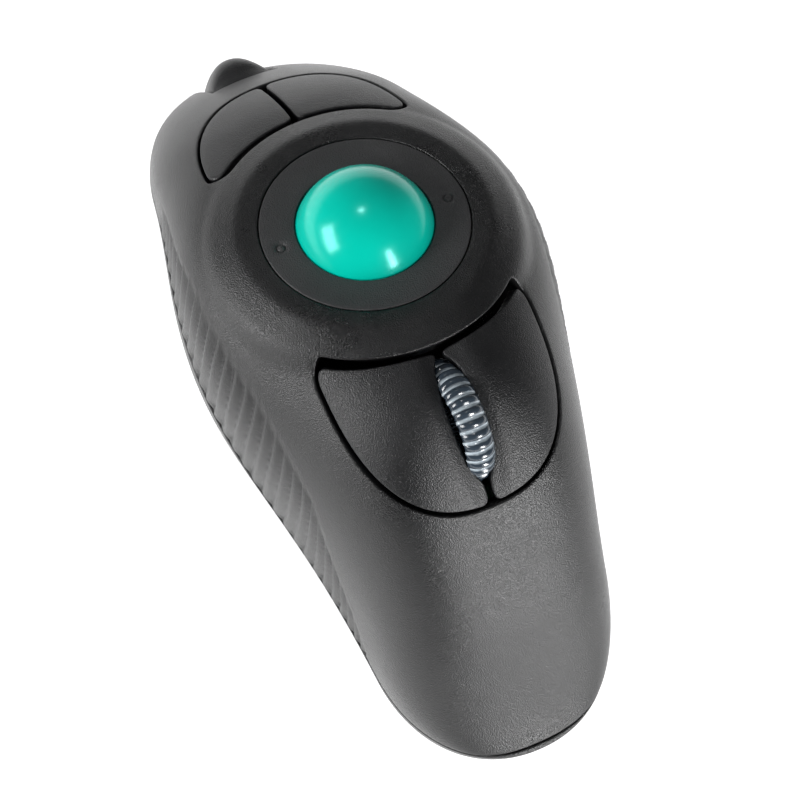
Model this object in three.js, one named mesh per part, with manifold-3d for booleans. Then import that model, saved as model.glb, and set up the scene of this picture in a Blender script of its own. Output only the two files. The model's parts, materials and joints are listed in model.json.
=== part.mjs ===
// Handheld trackball mouse: a thumb ball in a bayonet ring on the head, two keys ahead of it, two keys and
// a scroll wheel behind it, a finger trigger under the nose and two AAA cells in the handle.
// Millimetres, +Z up, +Y towards the nose, +X to the right; the floor is z = 0.
import * as THREE from "three";
import { ParametricGeometry } from "three/addons/geometries/ParametricGeometry.js";
import { mergeVertices } from "three/addons/utils/BufferGeometryUtils.js";
import Module from "manifold-3d";

const wasm = await Module();
wasm.setup();

// ---- driving dimensions ----
const BALL_RADIUS = 12.7; // a one-inch ball
const BALL_DEPTH = 4.15; // ball centre below the ring's face
const RING_CENTRE = new THREE.Vector3(0, 21.3, 57);
const RING_TILT = THREE.MathUtils.degToRad(-20); // the ring faces up and forwards
const RING_RADIUS = 18.5;
const RING_BORE = 12.25;
const RING_THICK = 2;
const COLLAR_RADIUS = 27.2;
const RUNNING_GAP = 0.3;

// The body is a row of rounded sections across Y. Each list below holds the control values of a uniform
// cubic B-spline, one every SECTION_PITCH millimetres from FIRST_SECTION back to the tail.
const FIRST_SECTION = 85.3;
const SECTION_PITCH = 20;
const HALF_WIDTH = [23.5, 21.5, 25.5, 33, 34.5, 29, 24, 22, 22, 24];
const CROWN = [-3, 28, 47.5, 56.5, 62.5, 67.5, 54.5, 33, 10, -6];
const WAIST = [-17, 9.5, 29, 38, 34, 25, 16, 11, 12, 18];
const KEEL = [0.8, 0.8, 0.8, 0.8, 5, 12, 7, 0.8, 0.8, 0.8];
const PARTING = [-8, 9.5, 23.5, 33, 30.5, 21.5, 14, 11.5, 13, 19];
const ROUNDNESS = [2, 2, 2.6, 4, 2.2, 2.3, 3.1, 2.4, 2.2, 2.2];
const BELLY_ROUNDNESS = 2.6;
const NOSE = { end: 71.1, length: 22, power: 2 };
const TAIL = { end: -71.8, length: 24, power: 2.1 };
const WALL = 2.2;
const PARTING_GAP = 0.3;
const BODY_ROWS = 28;
const BODY_SIDES = 32;
const CAVITY_ROWS = 16;
const CAVITY_SIDES = 20;

// Keys: plan outlines, one pair ahead of the collar and one behind it.
const KEY_THICK = 1.9;
const KEY_GAP = 0.4;
const KEY_SPLIT = 0.5; // half of the gap between a left key and its right one
const KEY_COLLAR_GAP = 1.1;
const FRONT_ARC = { centre: 18.7, across: 19.7, along: 25, power: 2.3 };
const FRONT_INNER = COLLAR_RADIUS + KEY_COLLAR_GAP;
const FRONT_HEEL_X = 17.6;
const FRONT_HEEL_ANGLE = THREE.MathUtils.degToRad(8);
const REAR_CURVE = { centre: -3.5, across: 20.2, along: 29, ahead: 8.5, power: 2.5 };
const REAR_CURVE_START = -THREE.MathUtils.degToRad(40);
const REAR_CORNER_X = 18.2;

// Scroll wheel.
const WHEEL_CENTRE = new THREE.Vector3(0, -16.85, 55.3);
const WHEEL_TILT = THREE.MathUtils.degToRad(12.67);
const WHEEL_RADIUS = 11.3;
const WHEEL_WIDTH = 5.4;
const WHEEL_RIBS = 32;
const AXLE_RADIUS = 1.2;
const WHEEL_SLOT = { halfWidth: 3.4, front: -6.9, back: -29.3, corner: 2.2 };

// Trigger.
const TRIGGER_HALF_WIDTH = 6.1;
const TRIGGER_PIVOT = new THREE.Vector2(59.3, 21);
const TRIGGER_PIN_RADIUS = 1;

// Handle: two cells side by side in a bay that follows the arched underside.
const CELL_RADIUS = 5.25;
const CELL_LENGTH = 44.5;
const BAY_CENTRE = new THREE.Vector3(0, -30.7, 16.1);
const BAY_TILT = THREE.MathUtils.degToRad(12);
const BAY = { halfWidth: 11.4, halfLength: 25.3, floor: -5.7, roof: 5.9, wall: 1.2 };
const DOOR = { halfWidth: 11, front: -7.2, back: -54.2 };

// ---- solids ----
function solid(geometry) {
  const plain = new THREE.BufferGeometry();
  const source = geometry.index ? geometry.toNonIndexed() : geometry;
  plain.setAttribute("position", source.getAttribute("position"));
  const merged = mergeVertices(plain, 1e-3);
  const corners = [];
  for (let i = 0; i < merged.index.count; i += 3) {
    const [a, b, c] = [0, 1, 2].map((k) => merged.index.getX(i + k));
    if (a !== b && b !== c && a !== c) corners.push(a, b, c);
  }
  return new wasm.Manifold(
    new wasm.Mesh({
      numProp: 3,
      vertProperties: merged.attributes.position.array,
      triVerts: new Uint32Array(corners),
    }),
  );
}

function geometryOf(body) {
  const mesh = body.getMesh();
  const positions = new Float32Array(mesh.numVert * 3);
  for (let i = 0; i < mesh.numVert; i++) {
    positions.set(mesh.vertProperties.subarray(i * mesh.numProp, i * mesh.numProp + 3), i * 3);
  }
  return new THREE.BufferGeometry()
    .setAttribute("position", new THREE.BufferAttribute(positions, 3))
    .setIndex(new THREE.BufferAttribute(mesh.triVerts, 1));
}

const join = (first, ...rest) => rest.reduce((body, other) => body.add(other), first);
const cut = (first, ...rest) => rest.reduce((body, other) => body.subtract(other), first);

// A box between two corners.
function block(low, high) {
  const size = high.map((value, i) => value - low[i]);
  const middle = high.map((value, i) => (value + low[i]) / 2);
  return new THREE.BoxGeometry(...size).translate(...middle);
}

// A cylinder from one height to another; axis "x", "y" or "z".
function rod(radius, from, to, axis = "z", at = [0, 0], sides = 20) {
  const geometry = new THREE.CylinderGeometry(radius, radius, to - from, sides);
  geometry.translate(0, (from + to) / 2, 0);
  if (axis === "z") return geometry.rotateX(Math.PI / 2).translate(at[0], at[1], 0);
  if (axis === "x") return geometry.rotateZ(-Math.PI / 2).translate(0, at[0], at[1]);
  return geometry.translate(at[0], 0, at[1]);
}

// A solid of revolution about Z from a closed [radius, height] profile.
function turned(profile, sides = 32) {
  const points = profile.map(([radius, height]) => new THREE.Vector2(radius, height));
  const geometry = new THREE.LatheGeometry([...points, points[0]], sides).rotateX(Math.PI / 2);
  const body = solid(geometry);
  return body.volume() > 0 ? geometry : flipped(geometry);
}

function flipped(geometry) {
  const index = geometry.index.array;
  for (let i = 0; i < index.length; i += 3) [index[i + 1], index[i + 2]] = [index[i + 2], index[i + 1]];
  return geometry;
}

// An outline in XY pulled up from one height to another.
function prism(points, from, to) {
  const shape = new THREE.Shape(points);
  const geometry = new THREE.ExtrudeGeometry(shape, { depth: to - from, bevelEnabled: false });
  return geometry.translate(0, 0, from);
}

// An outline in YZ pulled across X, the same distance to both sides.
function slab(points, halfWidth, bevel = 0) {
  const shape = new THREE.Shape(points.map(([y, z]) => new THREE.Vector2(y, z)));
  const depth = 2 * (halfWidth - bevel);
  const geometry = new THREE.ExtrudeGeometry(shape, {
    depth,
    bevelEnabled: bevel > 0,
    bevelThickness: bevel,
    bevelSize: bevel,
    bevelOffset: -bevel,
    bevelSegments: 1,
  });
  geometry.translate(0, 0, -depth / 2);
  return geometry.applyMatrix4(new THREE.Matrix4().set(0, 0, 1, 0, 1, 0, 0, 0, 0, 1, 0, 0, 0, 0, 0, 1));
}

const frameOf = (position, tilt) => new THREE.Matrix4().makeRotationX(tilt).setPosition(position);
const RING_FRAME = frameOf(RING_CENTRE, RING_TILT);
const WHEEL_FRAME = frameOf(WHEEL_CENTRE, WHEEL_TILT);
const BAY_FRAME = frameOf(BAY_CENTRE, BAY_TILT);
const inFrame = (geometry, frame) => geometry.clone().applyMatrix4(frame);

// ---- body surface ----
function along(controls, y) {
  const t = (FIRST_SECTION - y) / SECTION_PITCH - 1;
  const i = Math.min(Math.max(Math.floor(t), 0), controls.length - 4);
  const u = t - i;
  const weights = [
    (1 - u) ** 3,
    3 * u ** 3 - 6 * u ** 2 + 4,
    -3 * u ** 3 + 3 * u ** 2 + 3 * u + 1,
    u ** 3,
  ];
  return weights.reduce((sum, weight, k) => sum + weight * controls[i + k], 0) / 6;
}

// How far the section has shrunk towards its middle at the two rounded ends.
function endShare(y, inset) {
  const nose = Math.max((y - (NOSE.end - NOSE.length)) / (NOSE.length - inset), 0);
  const tail = Math.max((TAIL.end + TAIL.length - y) / (TAIL.length - inset), 0);
  const share = (value, power) => Math.max(1 - Math.min(value, 1) ** power, 0) ** (1 / power);
  return share(nose, NOSE.power) * share(tail, TAIL.power);
}

// The point of the body at angle u (0 to 1 round the section) and v (0 to 1 from tail to nose).
function bodyPoint(u, v, inset, target) {
  const front = NOSE.end - inset;
  const back = TAIL.end + inset;
  const y = (front + back) / 2 - ((front - back) / 2) * Math.cos(Math.PI * v);
  const angle = 2 * Math.PI * u;
  const share = endShare(y, inset);
  const upper = Math.sin(angle) > 0;
  const power = 2 / (upper ? along(ROUNDNESS, y) : BELLY_ROUNDNESS);
  const waist = along(WAIST, y);
  const reach = upper ? along(CROWN, y) - waist - inset : waist - along(KEEL, y) - inset;
  const across = Math.sign(Math.cos(angle)) * Math.abs(Math.cos(angle)) ** power;
  const up = Math.sign(Math.sin(angle)) * Math.abs(Math.sin(angle)) ** power;
  target.set(
    (along(HALF_WIDTH, y) - inset) * share * across,
    y,
    waist + Math.max(reach, 0.5) * share * up,
  );
}

function bodyLoft(inset, rows, sides) {
  const place = (u, v, target) => bodyPoint(u % 1, v, inset, target);
  const body = solid(new ParametricGeometry(place, sides, rows));
  return body.volume() > 0 ? body : solid(flippedLoft(place, sides, rows));
}

function flippedLoft(place, sides, rows) {
  return new ParametricGeometry((u, v, target) => place(1 - u, v, target), sides, rows);
}

// Everything above (or below) the line where the two shells meet.
function sideOfParting(above) {
  const edge = [];
  for (let y = 80; y >= -80; y -= 5) {
    edge.push([y, along(PARTING, y) + (above ? PARTING_GAP / 2 : -PARTING_GAP / 2)]);
  }
  const limit = above ? 90 : -40;
  return solid(slab([[80, limit], ...edge, [-80, limit]], 60));
}

// ---- key outlines ----
// The front keys lie between the collar and an elliptical edge, in the ring's frame. grow widens the outline.
function frontKeyOutline(side, split, grow, inner) {
  const points = [];
  const steps = 8;
  const heelY = Math.sqrt(FRONT_INNER ** 2 - FRONT_HEEL_X ** 2) - grow;
  const innerEnd = Math.acos(Math.min(heelY / inner, 1));
  const innerStart = Math.asin(split / inner);
  for (let i = 0; i <= steps; i++) {
    const angle = innerStart + ((innerEnd - innerStart) * i) / steps;
    points.push(new THREE.Vector2(side * inner * Math.sin(angle), inner * Math.cos(angle)));
  }
  const across = FRONT_ARC.across + grow;
  const forward = FRONT_ARC.along + grow;
  const outerStart = FRONT_HEEL_ANGLE - grow / FRONT_ARC.across;
  const power = 2 / FRONT_ARC.power;
  const outerEnd = Math.acos((split / across) ** (1 / power));
  for (let i = 0; i <= steps + 2; i++) {
    const angle = outerStart + ((outerEnd - outerStart) * i) / (steps + 2);
    const x = across * Math.cos(angle) ** power;
    points.push(new THREE.Vector2(side * x, FRONT_ARC.centre + forward * Math.sin(angle) ** power));
  }
  return points;
}

// The rear keys lie between the collar and a rounded U, in plan.
function rearKeyOutline(side, split, grow, collarGap) {
  const points = [];
  const steps = 8;
  const collarAcross = COLLAR_RADIUS + collarGap;
  const collarAlong = collarAcross * Math.cos(RING_TILT);
  const collarY = (x) => RING_CENTRE.y - 0.75 - collarAlong * Math.sqrt(1 - (x / collarAcross) ** 2);
  const cornerX = REAR_CORNER_X + grow;
  for (let i = 0; i <= steps; i++) {
    const x = split + ((cornerX - split) * i) / steps;
    points.push(new THREE.Vector2(side * x, collarY(x)));
  }
  const across = REAR_CURVE.across + grow;
  const start = REAR_CURVE_START;
  const end = Math.acos((split / across) ** (REAR_CURVE.power / 2));
  for (let i = 0; i <= steps + 4; i++) {
    const angle = start + ((end - start) * i) / (steps + 4);
    const reach = angle > 0 ? REAR_CURVE.along + grow : -REAR_CURVE.ahead - grow;
    const x = across * Math.cos(angle) ** (2 / REAR_CURVE.power);
    const y = REAR_CURVE.centre - reach * Math.abs(Math.sin(angle)) ** (2 / REAR_CURVE.power);
    if (y < collarY(cornerX) - 0.2) points.push(new THREE.Vector2(side * x, y));
  }
  return points;
}

const mirrored = (right, left) => [...right, ...left.reverse()];

function frontWindow() {
  const edge = (side) => frontKeyOutline(side, 0, KEY_GAP, COLLAR_RADIUS);
  const right = edge(1);
  const left = edge(-1).slice(1, -1);
  return solid(inFrame(prism(mirrored(right, left), -14, 14), RING_FRAME));
}

function rearWindow() {
  const edge = (side) => rearKeyOutline(side, 0, KEY_GAP, 0);
  const right = edge(1);
  const left = edge(-1).slice(1, -1);
  return solid(prism(mirrored(right, left), 38, 80));
}

function wheelSlot() {
  const { halfWidth, front, back, corner } = WHEEL_SLOT;
  const shape = new THREE.Shape();
  const x = halfWidth - corner;
  shape.absarc(x, front - corner, corner, 0, Math.PI / 2);
  shape.absarc(-x, front - corner, corner, Math.PI / 2, Math.PI);
  shape.absarc(-x, back + corner, corner, Math.PI, 1.5 * Math.PI);
  shape.absarc(x, back + corner, corner, 1.5 * Math.PI, 2 * Math.PI);
  return solid(prism(shape.getPoints(3), 36, 86));
}

// ---- shells ----
const outer = bodyLoft(0, BODY_ROWS, BODY_SIDES);
const cavity = bodyLoft(WALL, CAVITY_ROWS, CAVITY_SIDES);
const keySkin = cut(outer, bodyLoft(KEY_THICK, CAVITY_ROWS, CAVITY_SIDES));
const innerReach = bodyLoft(WALL + PARTING_GAP, CAVITY_ROWS, CAVITY_SIDES);
const above = sideOfParting(true);
const below = sideOfParting(false);

const LEDGE = { bore: 16.2, top: -2.3, bottom: -5 };
const LUG_ANGLES = [90, 210, 330].map(THREE.MathUtils.degToRad);
const LUG_TURN = THREE.MathUtils.degToRad(32);
const CUP_SCREW_RADIUS = 20.4;
const CUP_SCREW_ANGLES = [60, 180, 300].map(THREE.MathUtils.degToRad);
const SHELL_SCREWS = [
  { name: "shell_screw_1", x: 26.5, y: 22, top: 45 },
  { name: "shell_screw_2", x: -26.5, y: 22, top: 45 },
  { name: "shell_screw_3", x: 17, y: -35.5, top: 36 },
  { name: "shell_screw_4", x: -17, y: -35.5, top: 36 },
];

function collar() {
  return turned([
    [LEDGE.bore, 0],
    [21.7, 0],
    [22.3, -0.15],
    [22.9, -0.55],
    [23.8, -1.15],
    [25.2, -1.85],
    [COLLAR_RADIUS - 0.3, -2.4],
    [COLLAR_RADIUS - 0.3, LEDGE.bottom],
    [LEDGE.bore, LEDGE.bottom],
  ]);
}

// Bayonet notches in the ledge, a part turn away from the ring's lugs.
function lugNotch(angle) {
  const notch = block([-2.1, LEDGE.bore - 1, LEDGE.bottom - 1], [2.1, 17.6, LEDGE.top + 1]);
  return solid(inFrame(notch.rotateZ(angle - Math.PI / 2 + LUG_TURN), RING_FRAME));
}

function triggerEars() {
  const [y, z] = [TRIGGER_PIVOT.x, TRIGGER_PIVOT.y];
  const ear = (side) => {
    const x = [side * 6.9, side * 8.7].sort((a, b) => a - b);
    return solid(block([x[0], y - 3, z - 3], [x[1], y + 2.6, z + 14]));
  };
  return join(ear(1), ear(-1));
}

function triggerWindow() {
  return solid(block([-6.6, 61.9, -1], [6.6, 84, 22.8]));
}

function upperShell() {
  let shell = cut(outer.intersect(above), cavity);
  const ringCollar = solid(inFrame(collar(), RING_FRAME));
  shell = shell.add(ringCollar);
  for (const { x, y, top } of SHELL_SCREWS) {
    const post = solid(rod(3.1, seamAt(y) + PARTING_GAP / 2, top + 16, "z", [x, y], 16));
    shell = shell.add(post.intersect(outer));
  }
  for (const angle of CUP_SCREW_ANGLES) {
    const at = [CUP_SCREW_RADIUS * Math.cos(angle), CUP_SCREW_RADIUS * Math.sin(angle)];
    shell = shell.add(solid(inFrame(rod(2, CUP.flangeTop + RUNNING_GAP, -4, "z", at, 12), RING_FRAME)));
  }
  shell = shell.add(triggerEars().intersect(outer));
  const ringWell = turned([
    [0, 6],
    [RING_RADIUS + RUNNING_GAP, 6],
    [RING_RADIUS + RUNNING_GAP, LEDGE.top],
    [LEDGE.bore, LEDGE.top],
    [LEDGE.bore, LEDGE.bottom - 3],
    [0, LEDGE.bottom - 3],
  ]);
  shell = cut(
    shell,
    solid(inFrame(ringWell, RING_FRAME)),
    ...LUG_ANGLES.map(lugNotch),
    frontWindow(),
    rearWindow(),
    triggerWindow(),
    solid(rod(TRIGGER_PIN_RADIUS + 0.05, -12, 12, "x", [TRIGGER_PIVOT.x, TRIGGER_PIVOT.y], 16)),
  );
  for (const { x, y, top } of SHELL_SCREWS) {
    shell = shell.subtract(solid(rod(1.3, 0, top, "z", [x, y], 12)));
  }
  for (const angle of CUP_SCREW_ANGLES) {
    const at = [CUP_SCREW_RADIUS * Math.cos(angle), CUP_SCREW_RADIUS * Math.sin(angle)];
    shell = shell.subtract(solid(inFrame(rod(1, -12, -3, "z", at, 10), RING_FRAME)));
  }
  return shell;
}

const seamAt = (y) => along(PARTING, y);
const SCREW_SEAT = 4; // depth of a case screw's seat below the seam
const CASE_SCREW = { head: 2.3, headHeight: 1.6, shank: 1.1, length: 13 };

// Feet: shallow recesses in the underside, one pad in each.
const FEET = [
  { name: "foot_front_left", x: -13, y: 40, halfWidth: 5.5, halfLength: 3 },
  { name: "foot_front_right", x: 13, y: 40, halfWidth: 5.5, halfLength: 3 },
  { name: "foot_rear", x: 0, y: -59.5, halfWidth: 7, halfLength: 2.6 },
];
const FOOT_TOP = 2.2;

function padOutline({ x, y, halfWidth, halfLength }, shrink) {
  const shape = new THREE.Shape();
  const radius = halfLength - shrink;
  const reach = halfWidth - halfLength;
  shape.absarc(x + reach, y, radius, -Math.PI / 2, Math.PI / 2);
  shape.absarc(x - reach, y, radius, Math.PI / 2, (3 * Math.PI) / 2);
  return shape.getPoints(6);
}

const SWITCH_SLOT = { y: 22, halfLength: 4.2, halfWidth: 2.2 };
const RECEIVER = { y: 3.6, halfWidth: 7.6, halfDepth: 3.4, bottom: 5.6, top: 24.8 };
const BOARD_POSTS = [
  { x: 11, y: 16, top: 8.6 },
  { x: -11, y: 16, top: 8.6 },
  { x: 10, y: 43, top: 8.6 },
  { x: -10, y: 43, top: 8.6 },
];

function lowerShell() {
  let shell = cut(outer.intersect(below), cavity);
  const inside = outer.intersect(below).add(innerReach);
  const bay = block(
    [-BAY.halfWidth - BAY.wall, -BAY.halfLength - BAY.wall, -14],
    [BAY.halfWidth + BAY.wall, BAY.halfLength + BAY.wall, BAY.roof + BAY.wall],
  );
  shell = shell.add(solid(inFrame(bay, BAY_FRAME)).intersect(inside));
  const r = RECEIVER;
  const receiverWell = block(
    [-r.halfWidth - 1.2, r.y - r.halfDepth - 1.2, 0],
    [r.halfWidth + 1.2, r.y + r.halfDepth + 1.2, r.top + 1.2],
  );
  shell = shell.add(solid(receiverWell).intersect(inside));
  for (const { x, y } of SHELL_SCREWS) {
    const boss = solid(rod(4.3, 0, seamAt(y) - PARTING_GAP / 2, "z", [x, y], 16));
    shell = shell.add(boss.intersect(outer).intersect(below));
  }
  for (const { x, y, top } of BOARD_POSTS) {
    shell = shell.add(solid(rod(2, 0, top, "z", [x, y], 10)).intersect(inside));
  }
  for (const { x, y } of SHELL_SCREWS) {
    const seat = seamAt(y) - SCREW_SEAT;
    shell = shell.subtract(solid(rod(2.7, -2, seat, "z", [x, y], 12)));
    shell = shell.subtract(solid(rod(1.45, -2, 60, "z", [x, y], 12)));
  }
  const bayHollow = block(
    [-BAY.halfWidth, -BAY.halfLength, BAY.floor],
    [BAY.halfWidth, BAY.halfLength, BAY.roof],
  );
  const doorSide = DOOR.halfWidth + PARTING_GAP;
  const doorway = block(
    [-doorSide, DOOR.back - PARTING_GAP, -5],
    [doorSide, DOOR.front + PARTING_GAP, 40],
  );
  const underBay = block([-30, -40, -30], [30, 40, 0]);
  shell = cut(
    shell,
    solid(inFrame(bayHollow, BAY_FRAME)),
    solid(doorway).intersect(solid(inFrame(underBay, BAY_FRAME))),
    solid(block([-r.halfWidth, r.y - r.halfDepth, -5], [r.halfWidth, r.y + r.halfDepth, r.top])),
    solid(
      block(
        [-SWITCH_SLOT.halfLength, SWITCH_SLOT.y - SWITCH_SLOT.halfWidth, -5],
        [SWITCH_SLOT.halfLength, SWITCH_SLOT.y + SWITCH_SLOT.halfWidth, 8],
      ),
    ),
    triggerWindow(),
  );
  for (const foot of FEET) shell = shell.subtract(solid(prism(padOutline(foot, 0), -2, FOOT_TOP)));
  return shell;
}

// ---- ring, ball and cup, in the ring's frame ----
const CUP = { inner: 13.2, outer: 14.7, rim: -2.7, flangeTop: -7, flangeBottom: -8.4, flangeRadius: 22.8 };
const BEARING = { radius: 1.25, tilt: THREE.MathUtils.degToRad(38) };
const DIMPLE_ANGLES = [-6, 174].map(THREE.MathUtils.degToRad);

function retainingRing() {
  const plate = turned(
    [
      [RING_BORE, 0],
      [RING_RADIUS, 0],
      [RING_RADIUS, -RING_THICK],
      [15.9, -RING_THICK],
      [15.9, -6.2],
      [15, -6.2],
      [15, -RING_THICK],
      [12.9, -RING_THICK],
    ],
    36,
  );
  let ring = solid(plate);
  for (const angle of LUG_ANGLES) {
    ring = ring.add(solid(block([-1.8, 15.4, -6.2], [1.8, 17.1, -5.3]).rotateZ(angle - Math.PI / 2)));
  }
  for (const angle of DIMPLE_ANGLES) {
    const at = [15.45 * Math.cos(angle), 15.45 * Math.sin(angle)];
    ring = ring.subtract(solid(rod(0.9, -0.5, 1, "z", at, 12)));
  }
  return geometryOf(ring);
}

function bearingPlace(index) {
  const reach = BALL_RADIUS + BEARING.radius + 0.06;
  const turn = THREE.MathUtils.degToRad(30 + 120 * index);
  const across = reach * Math.cos(BEARING.tilt);
  return [
    across * Math.cos(turn),
    across * Math.sin(turn),
    -BALL_DEPTH - reach * Math.sin(BEARING.tilt),
  ];
}

function ballCup() {
  const arc = (radius, fromZ, steps) => {
    const start = Math.asin((fromZ + BALL_DEPTH) / radius);
    const end = -THREE.MathUtils.degToRad(76);
    return Array.from({ length: steps + 1 }, (_, i) => {
      const angle = start + ((end - start) * i) / steps;
      return [radius * Math.cos(angle), radius * Math.sin(angle) - BALL_DEPTH];
    });
  };
  const inside = arc(CUP.inner, CUP.rim, 6);
  const outside = arc(CUP.outer, CUP.flangeBottom, 5).reverse();
  let cup = solid(
    turned([
      ...inside,
      ...outside,
      [CUP.flangeRadius, CUP.flangeBottom],
      [CUP.flangeRadius, CUP.flangeTop],
      [CUP.outer, CUP.flangeTop],
      [CUP.outer, CUP.rim],
    ], 24),
  );
  for (let i = 0; i < 3; i++) {
    const seat = new THREE.SphereGeometry(BEARING.radius + 1.1, 8, 6).translate(...bearingPlace(i));
    cup = cup.add(solid(seat));
  }
  cup = cup.subtract(solid(ballGeometry(BALL_RADIUS + 0.2, 20, 14)));
  for (let i = 0; i < 3; i++) {
    const pocket = new THREE.SphereGeometry(BEARING.radius + 0.25, 8, 6).translate(...bearingPlace(i));
    cup = cup.subtract(solid(pocket));
  }
  for (const angle of CUP_SCREW_ANGLES) {
    const at = [CUP_SCREW_RADIUS * Math.cos(angle), CUP_SCREW_RADIUS * Math.sin(angle)];
    cup = cup.subtract(solid(rod(1.15, -12, -3, "z", at, 10)));
  }
  return geometryOf(cup);
}

function ballGeometry(radius, around, down) {
  return new THREE.SphereGeometry(radius, around, down).rotateX(Math.PI / 2).translate(0, 0, -BALL_DEPTH);
}

function screw(headRadius, headHeight, shankRadius, length) {
  return turned(
    [
      [0, 0],
      [0, -length],
      [shankRadius, -length],
      [shankRadius, -headHeight],
      [headRadius, -headHeight],
      [headRadius, -0.4 * headHeight],
      [0.8 * headRadius, 0],
    ],
    10,
  );
}

// ---- keys ----
function frontKey(side) {
  const outline = frontKeyOutline(side, KEY_SPLIT, 0, FRONT_INNER);
  const column = solid(inFrame(prism(outline, -16, 14), RING_FRAME));
  const plunger = rod(1.6, FRONT_SWITCH.top + 0.9, 0, "z", [side * FRONT_SWITCH.x, FRONT_SWITCH.y], 10);
  const skin = keySkin.intersect(column);
  return skin.add(solid(inFrame(plunger, FRONT_BOARD_FRAME)).intersect(outer));
}

function rearKey(side) {
  const outline = rearKeyOutline(side, KEY_SPLIT, 0, KEY_COLLAR_GAP);
  const column = solid(prism(outline, 38, 80));
  const skin = cut(keySkin.intersect(column), wheelSlot());
  const plunger = rod(1.6, REAR_SWITCH.top + 0.9, 6, "z", [side * REAR_SWITCH.x, REAR_SWITCH.y], 10);
  return skin.add(solid(inFrame(plunger, WHEEL_FRAME)).intersect(outer));
}

// ---- switches and boards ----
const SWITCH_BODY = { half: 3, height: 3.4, stemRadius: 1.7, stemHeight: 1 };
const FRONT_BOARD = { z: -9.4, thick: 1.6 };
const FRONT_BOARD_FRAME = new THREE.Matrix4().multiplyMatrices(
  RING_FRAME,
  frameOf(new THREE.Vector3(0, 34.5, -6.8), THREE.MathUtils.degToRad(-31)),
);
const FRONT_SWITCH = {
  x: 9.5,
  y: 1,
  bottom: FRONT_BOARD.z + RUNNING_GAP,
  top: FRONT_BOARD.z + RUNNING_GAP + SWITCH_BODY.height + SWITCH_BODY.stemHeight,
};
const REAR_BOARD = { z: -4.6, thick: 1.6 };
const REAR_SWITCH = {
  x: 12.8,
  y: 6.6,
  bottom: REAR_BOARD.z + RUNNING_GAP,
  top: REAR_BOARD.z + RUNNING_GAP + SWITCH_BODY.height + SWITCH_BODY.stemHeight,
};

function tactSwitch(x, y, bottom) {
  const { half, height, stemRadius, stemHeight } = SWITCH_BODY;
  const base = solid(block([x - half, y - half, bottom], [x + half, y + half, bottom + height]));
  const stem = rod(stemRadius, bottom + height - 1, bottom + height + stemHeight, "z", [x, y], 12);
  return geometryOf(base.add(solid(stem)));
}

function rearBoard() {
  const plate = block([-16.5, -15, REAR_BOARD.z - REAR_BOARD.thick], [16.5, 11.4, REAR_BOARD.z]);
  const opening = block([-5.3, -12.6, REAR_BOARD.z - 4], [5.3, 20, REAR_BOARD.z + 2]);
  const switchSeat = block([-12, -3.3, REAR_BOARD.z - 4], [-5, 3.3, REAR_BOARD.z + 2]);
  return geometryOf(cut(solid(plate), solid(opening), solid(switchSeat)));
}

function mainBoard() {
  const plate = block([-13.5, 13, 8.9], [13.5, 46, 10.5]);
  const holes = BOARD_POSTS.map(({ x, y }) => solid(rod(0.9, 0, 14, "z", [x, y], 8)));
  return geometryOf(cut(solid(plate), ...holes));
}

// ---- scroll wheel, in its own frame ----
function ribbedWheel() {
  const points = [];
  for (let i = 0; i < WHEEL_RIBS; i++) {
    for (const [share, radius] of [[-0.3, WHEEL_RADIUS], [0.3, WHEEL_RADIUS], [0.5, WHEEL_RADIUS - 0.45]]) {
      const angle = (2 * Math.PI * (i + share)) / WHEEL_RIBS;
      points.push([radius * Math.cos(angle), radius * Math.sin(angle)]);
    }
  }
  const disc = solid(slab(points, WHEEL_WIDTH / 2, 0.6));
  return geometryOf(cut(disc, solid(rod(AXLE_RADIUS + 0.05, -5, 5, "x", [0, 0], 16))));
}

function wheelCarriage() {
  const arms = [1, -1].map((side) => {
    const x = [side * 3.3, side * 4.5].sort((a, b) => a - b);
    return solid(block([x[0], -2.6, -14], [x[1], 2.6, 2.4]));
  });
  const base = solid(block([-4.5, -6, -14.4], [4.5, 6, -12.9]));
  const bore = solid(rod(AXLE_RADIUS + 0.06, -8, 8, "x", [0, 0], 16));
  return geometryOf(cut(join(base, ...arms), bore));
}

function wheelEncoder() {
  const { z } = REAR_BOARD;
  const housing = solid(block([5.8, -5.2, z + RUNNING_GAP], [9.9, 3, 2.9]));
  return geometryOf(cut(housing, solid(rod(2.1, 4, 9.2, "x", [0, 0], 16))));
}

// ---- trigger ----
function triggerBlade() {
  const outline = new THREE.Shape();
  outline.moveTo(61, 22.7);
  outline.quadraticCurveTo(64, 21.9, 66.4, 20.8);
  outline.quadraticCurveTo(69.8, 20.2, 70.7, 16.4);
  outline.quadraticCurveTo(72.1, 10, 71.2, 6.6);
  outline.quadraticCurveTo(70.5, 3.6, 68.2, 3.5);
  outline.lineTo(65.6, 4.4);
  outline.lineTo(66.4, 13);
  outline.quadraticCurveTo(66.2, 17.4, 61, 18.8);
  const [y, z] = [TRIGGER_PIVOT.x, TRIGGER_PIVOT.y];
  outline.absarc(y, z, 2.4, -Math.PI / 4, -1.7 * Math.PI, true);
  const points = outline.getPoints(5).map((point) => [point.x, point.y]);
  const blade = solid(slab(points, TRIGGER_HALF_WIDTH, 0.8));
  const stub = solid(rod(1.5, 65, 67.5, "y", [TRIGGER_SWITCH.x, TRIGGER_SWITCH.z], 10));
  const bore = solid(rod(TRIGGER_PIN_RADIUS + 0.05, -10, 10, "x", [y, z], 16));
  return geometryOf(cut(blade.add(stub), bore));
}

const TRIGGER_SWITCH = { x: 2.9, z: 10.4, back: 59.3 };

function triggerSwitch() {
  const { x, z, back } = TRIGGER_SWITCH;
  const base = solid(block([x - 2.6, back, z - 3], [x + 3, back + 3.4, z + 3]));
  const stem = solid(rod(1.7, back + 2.4, back + 4.3, "y", [x, z], 12));
  return geometryOf(base.add(stem));
}

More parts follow.
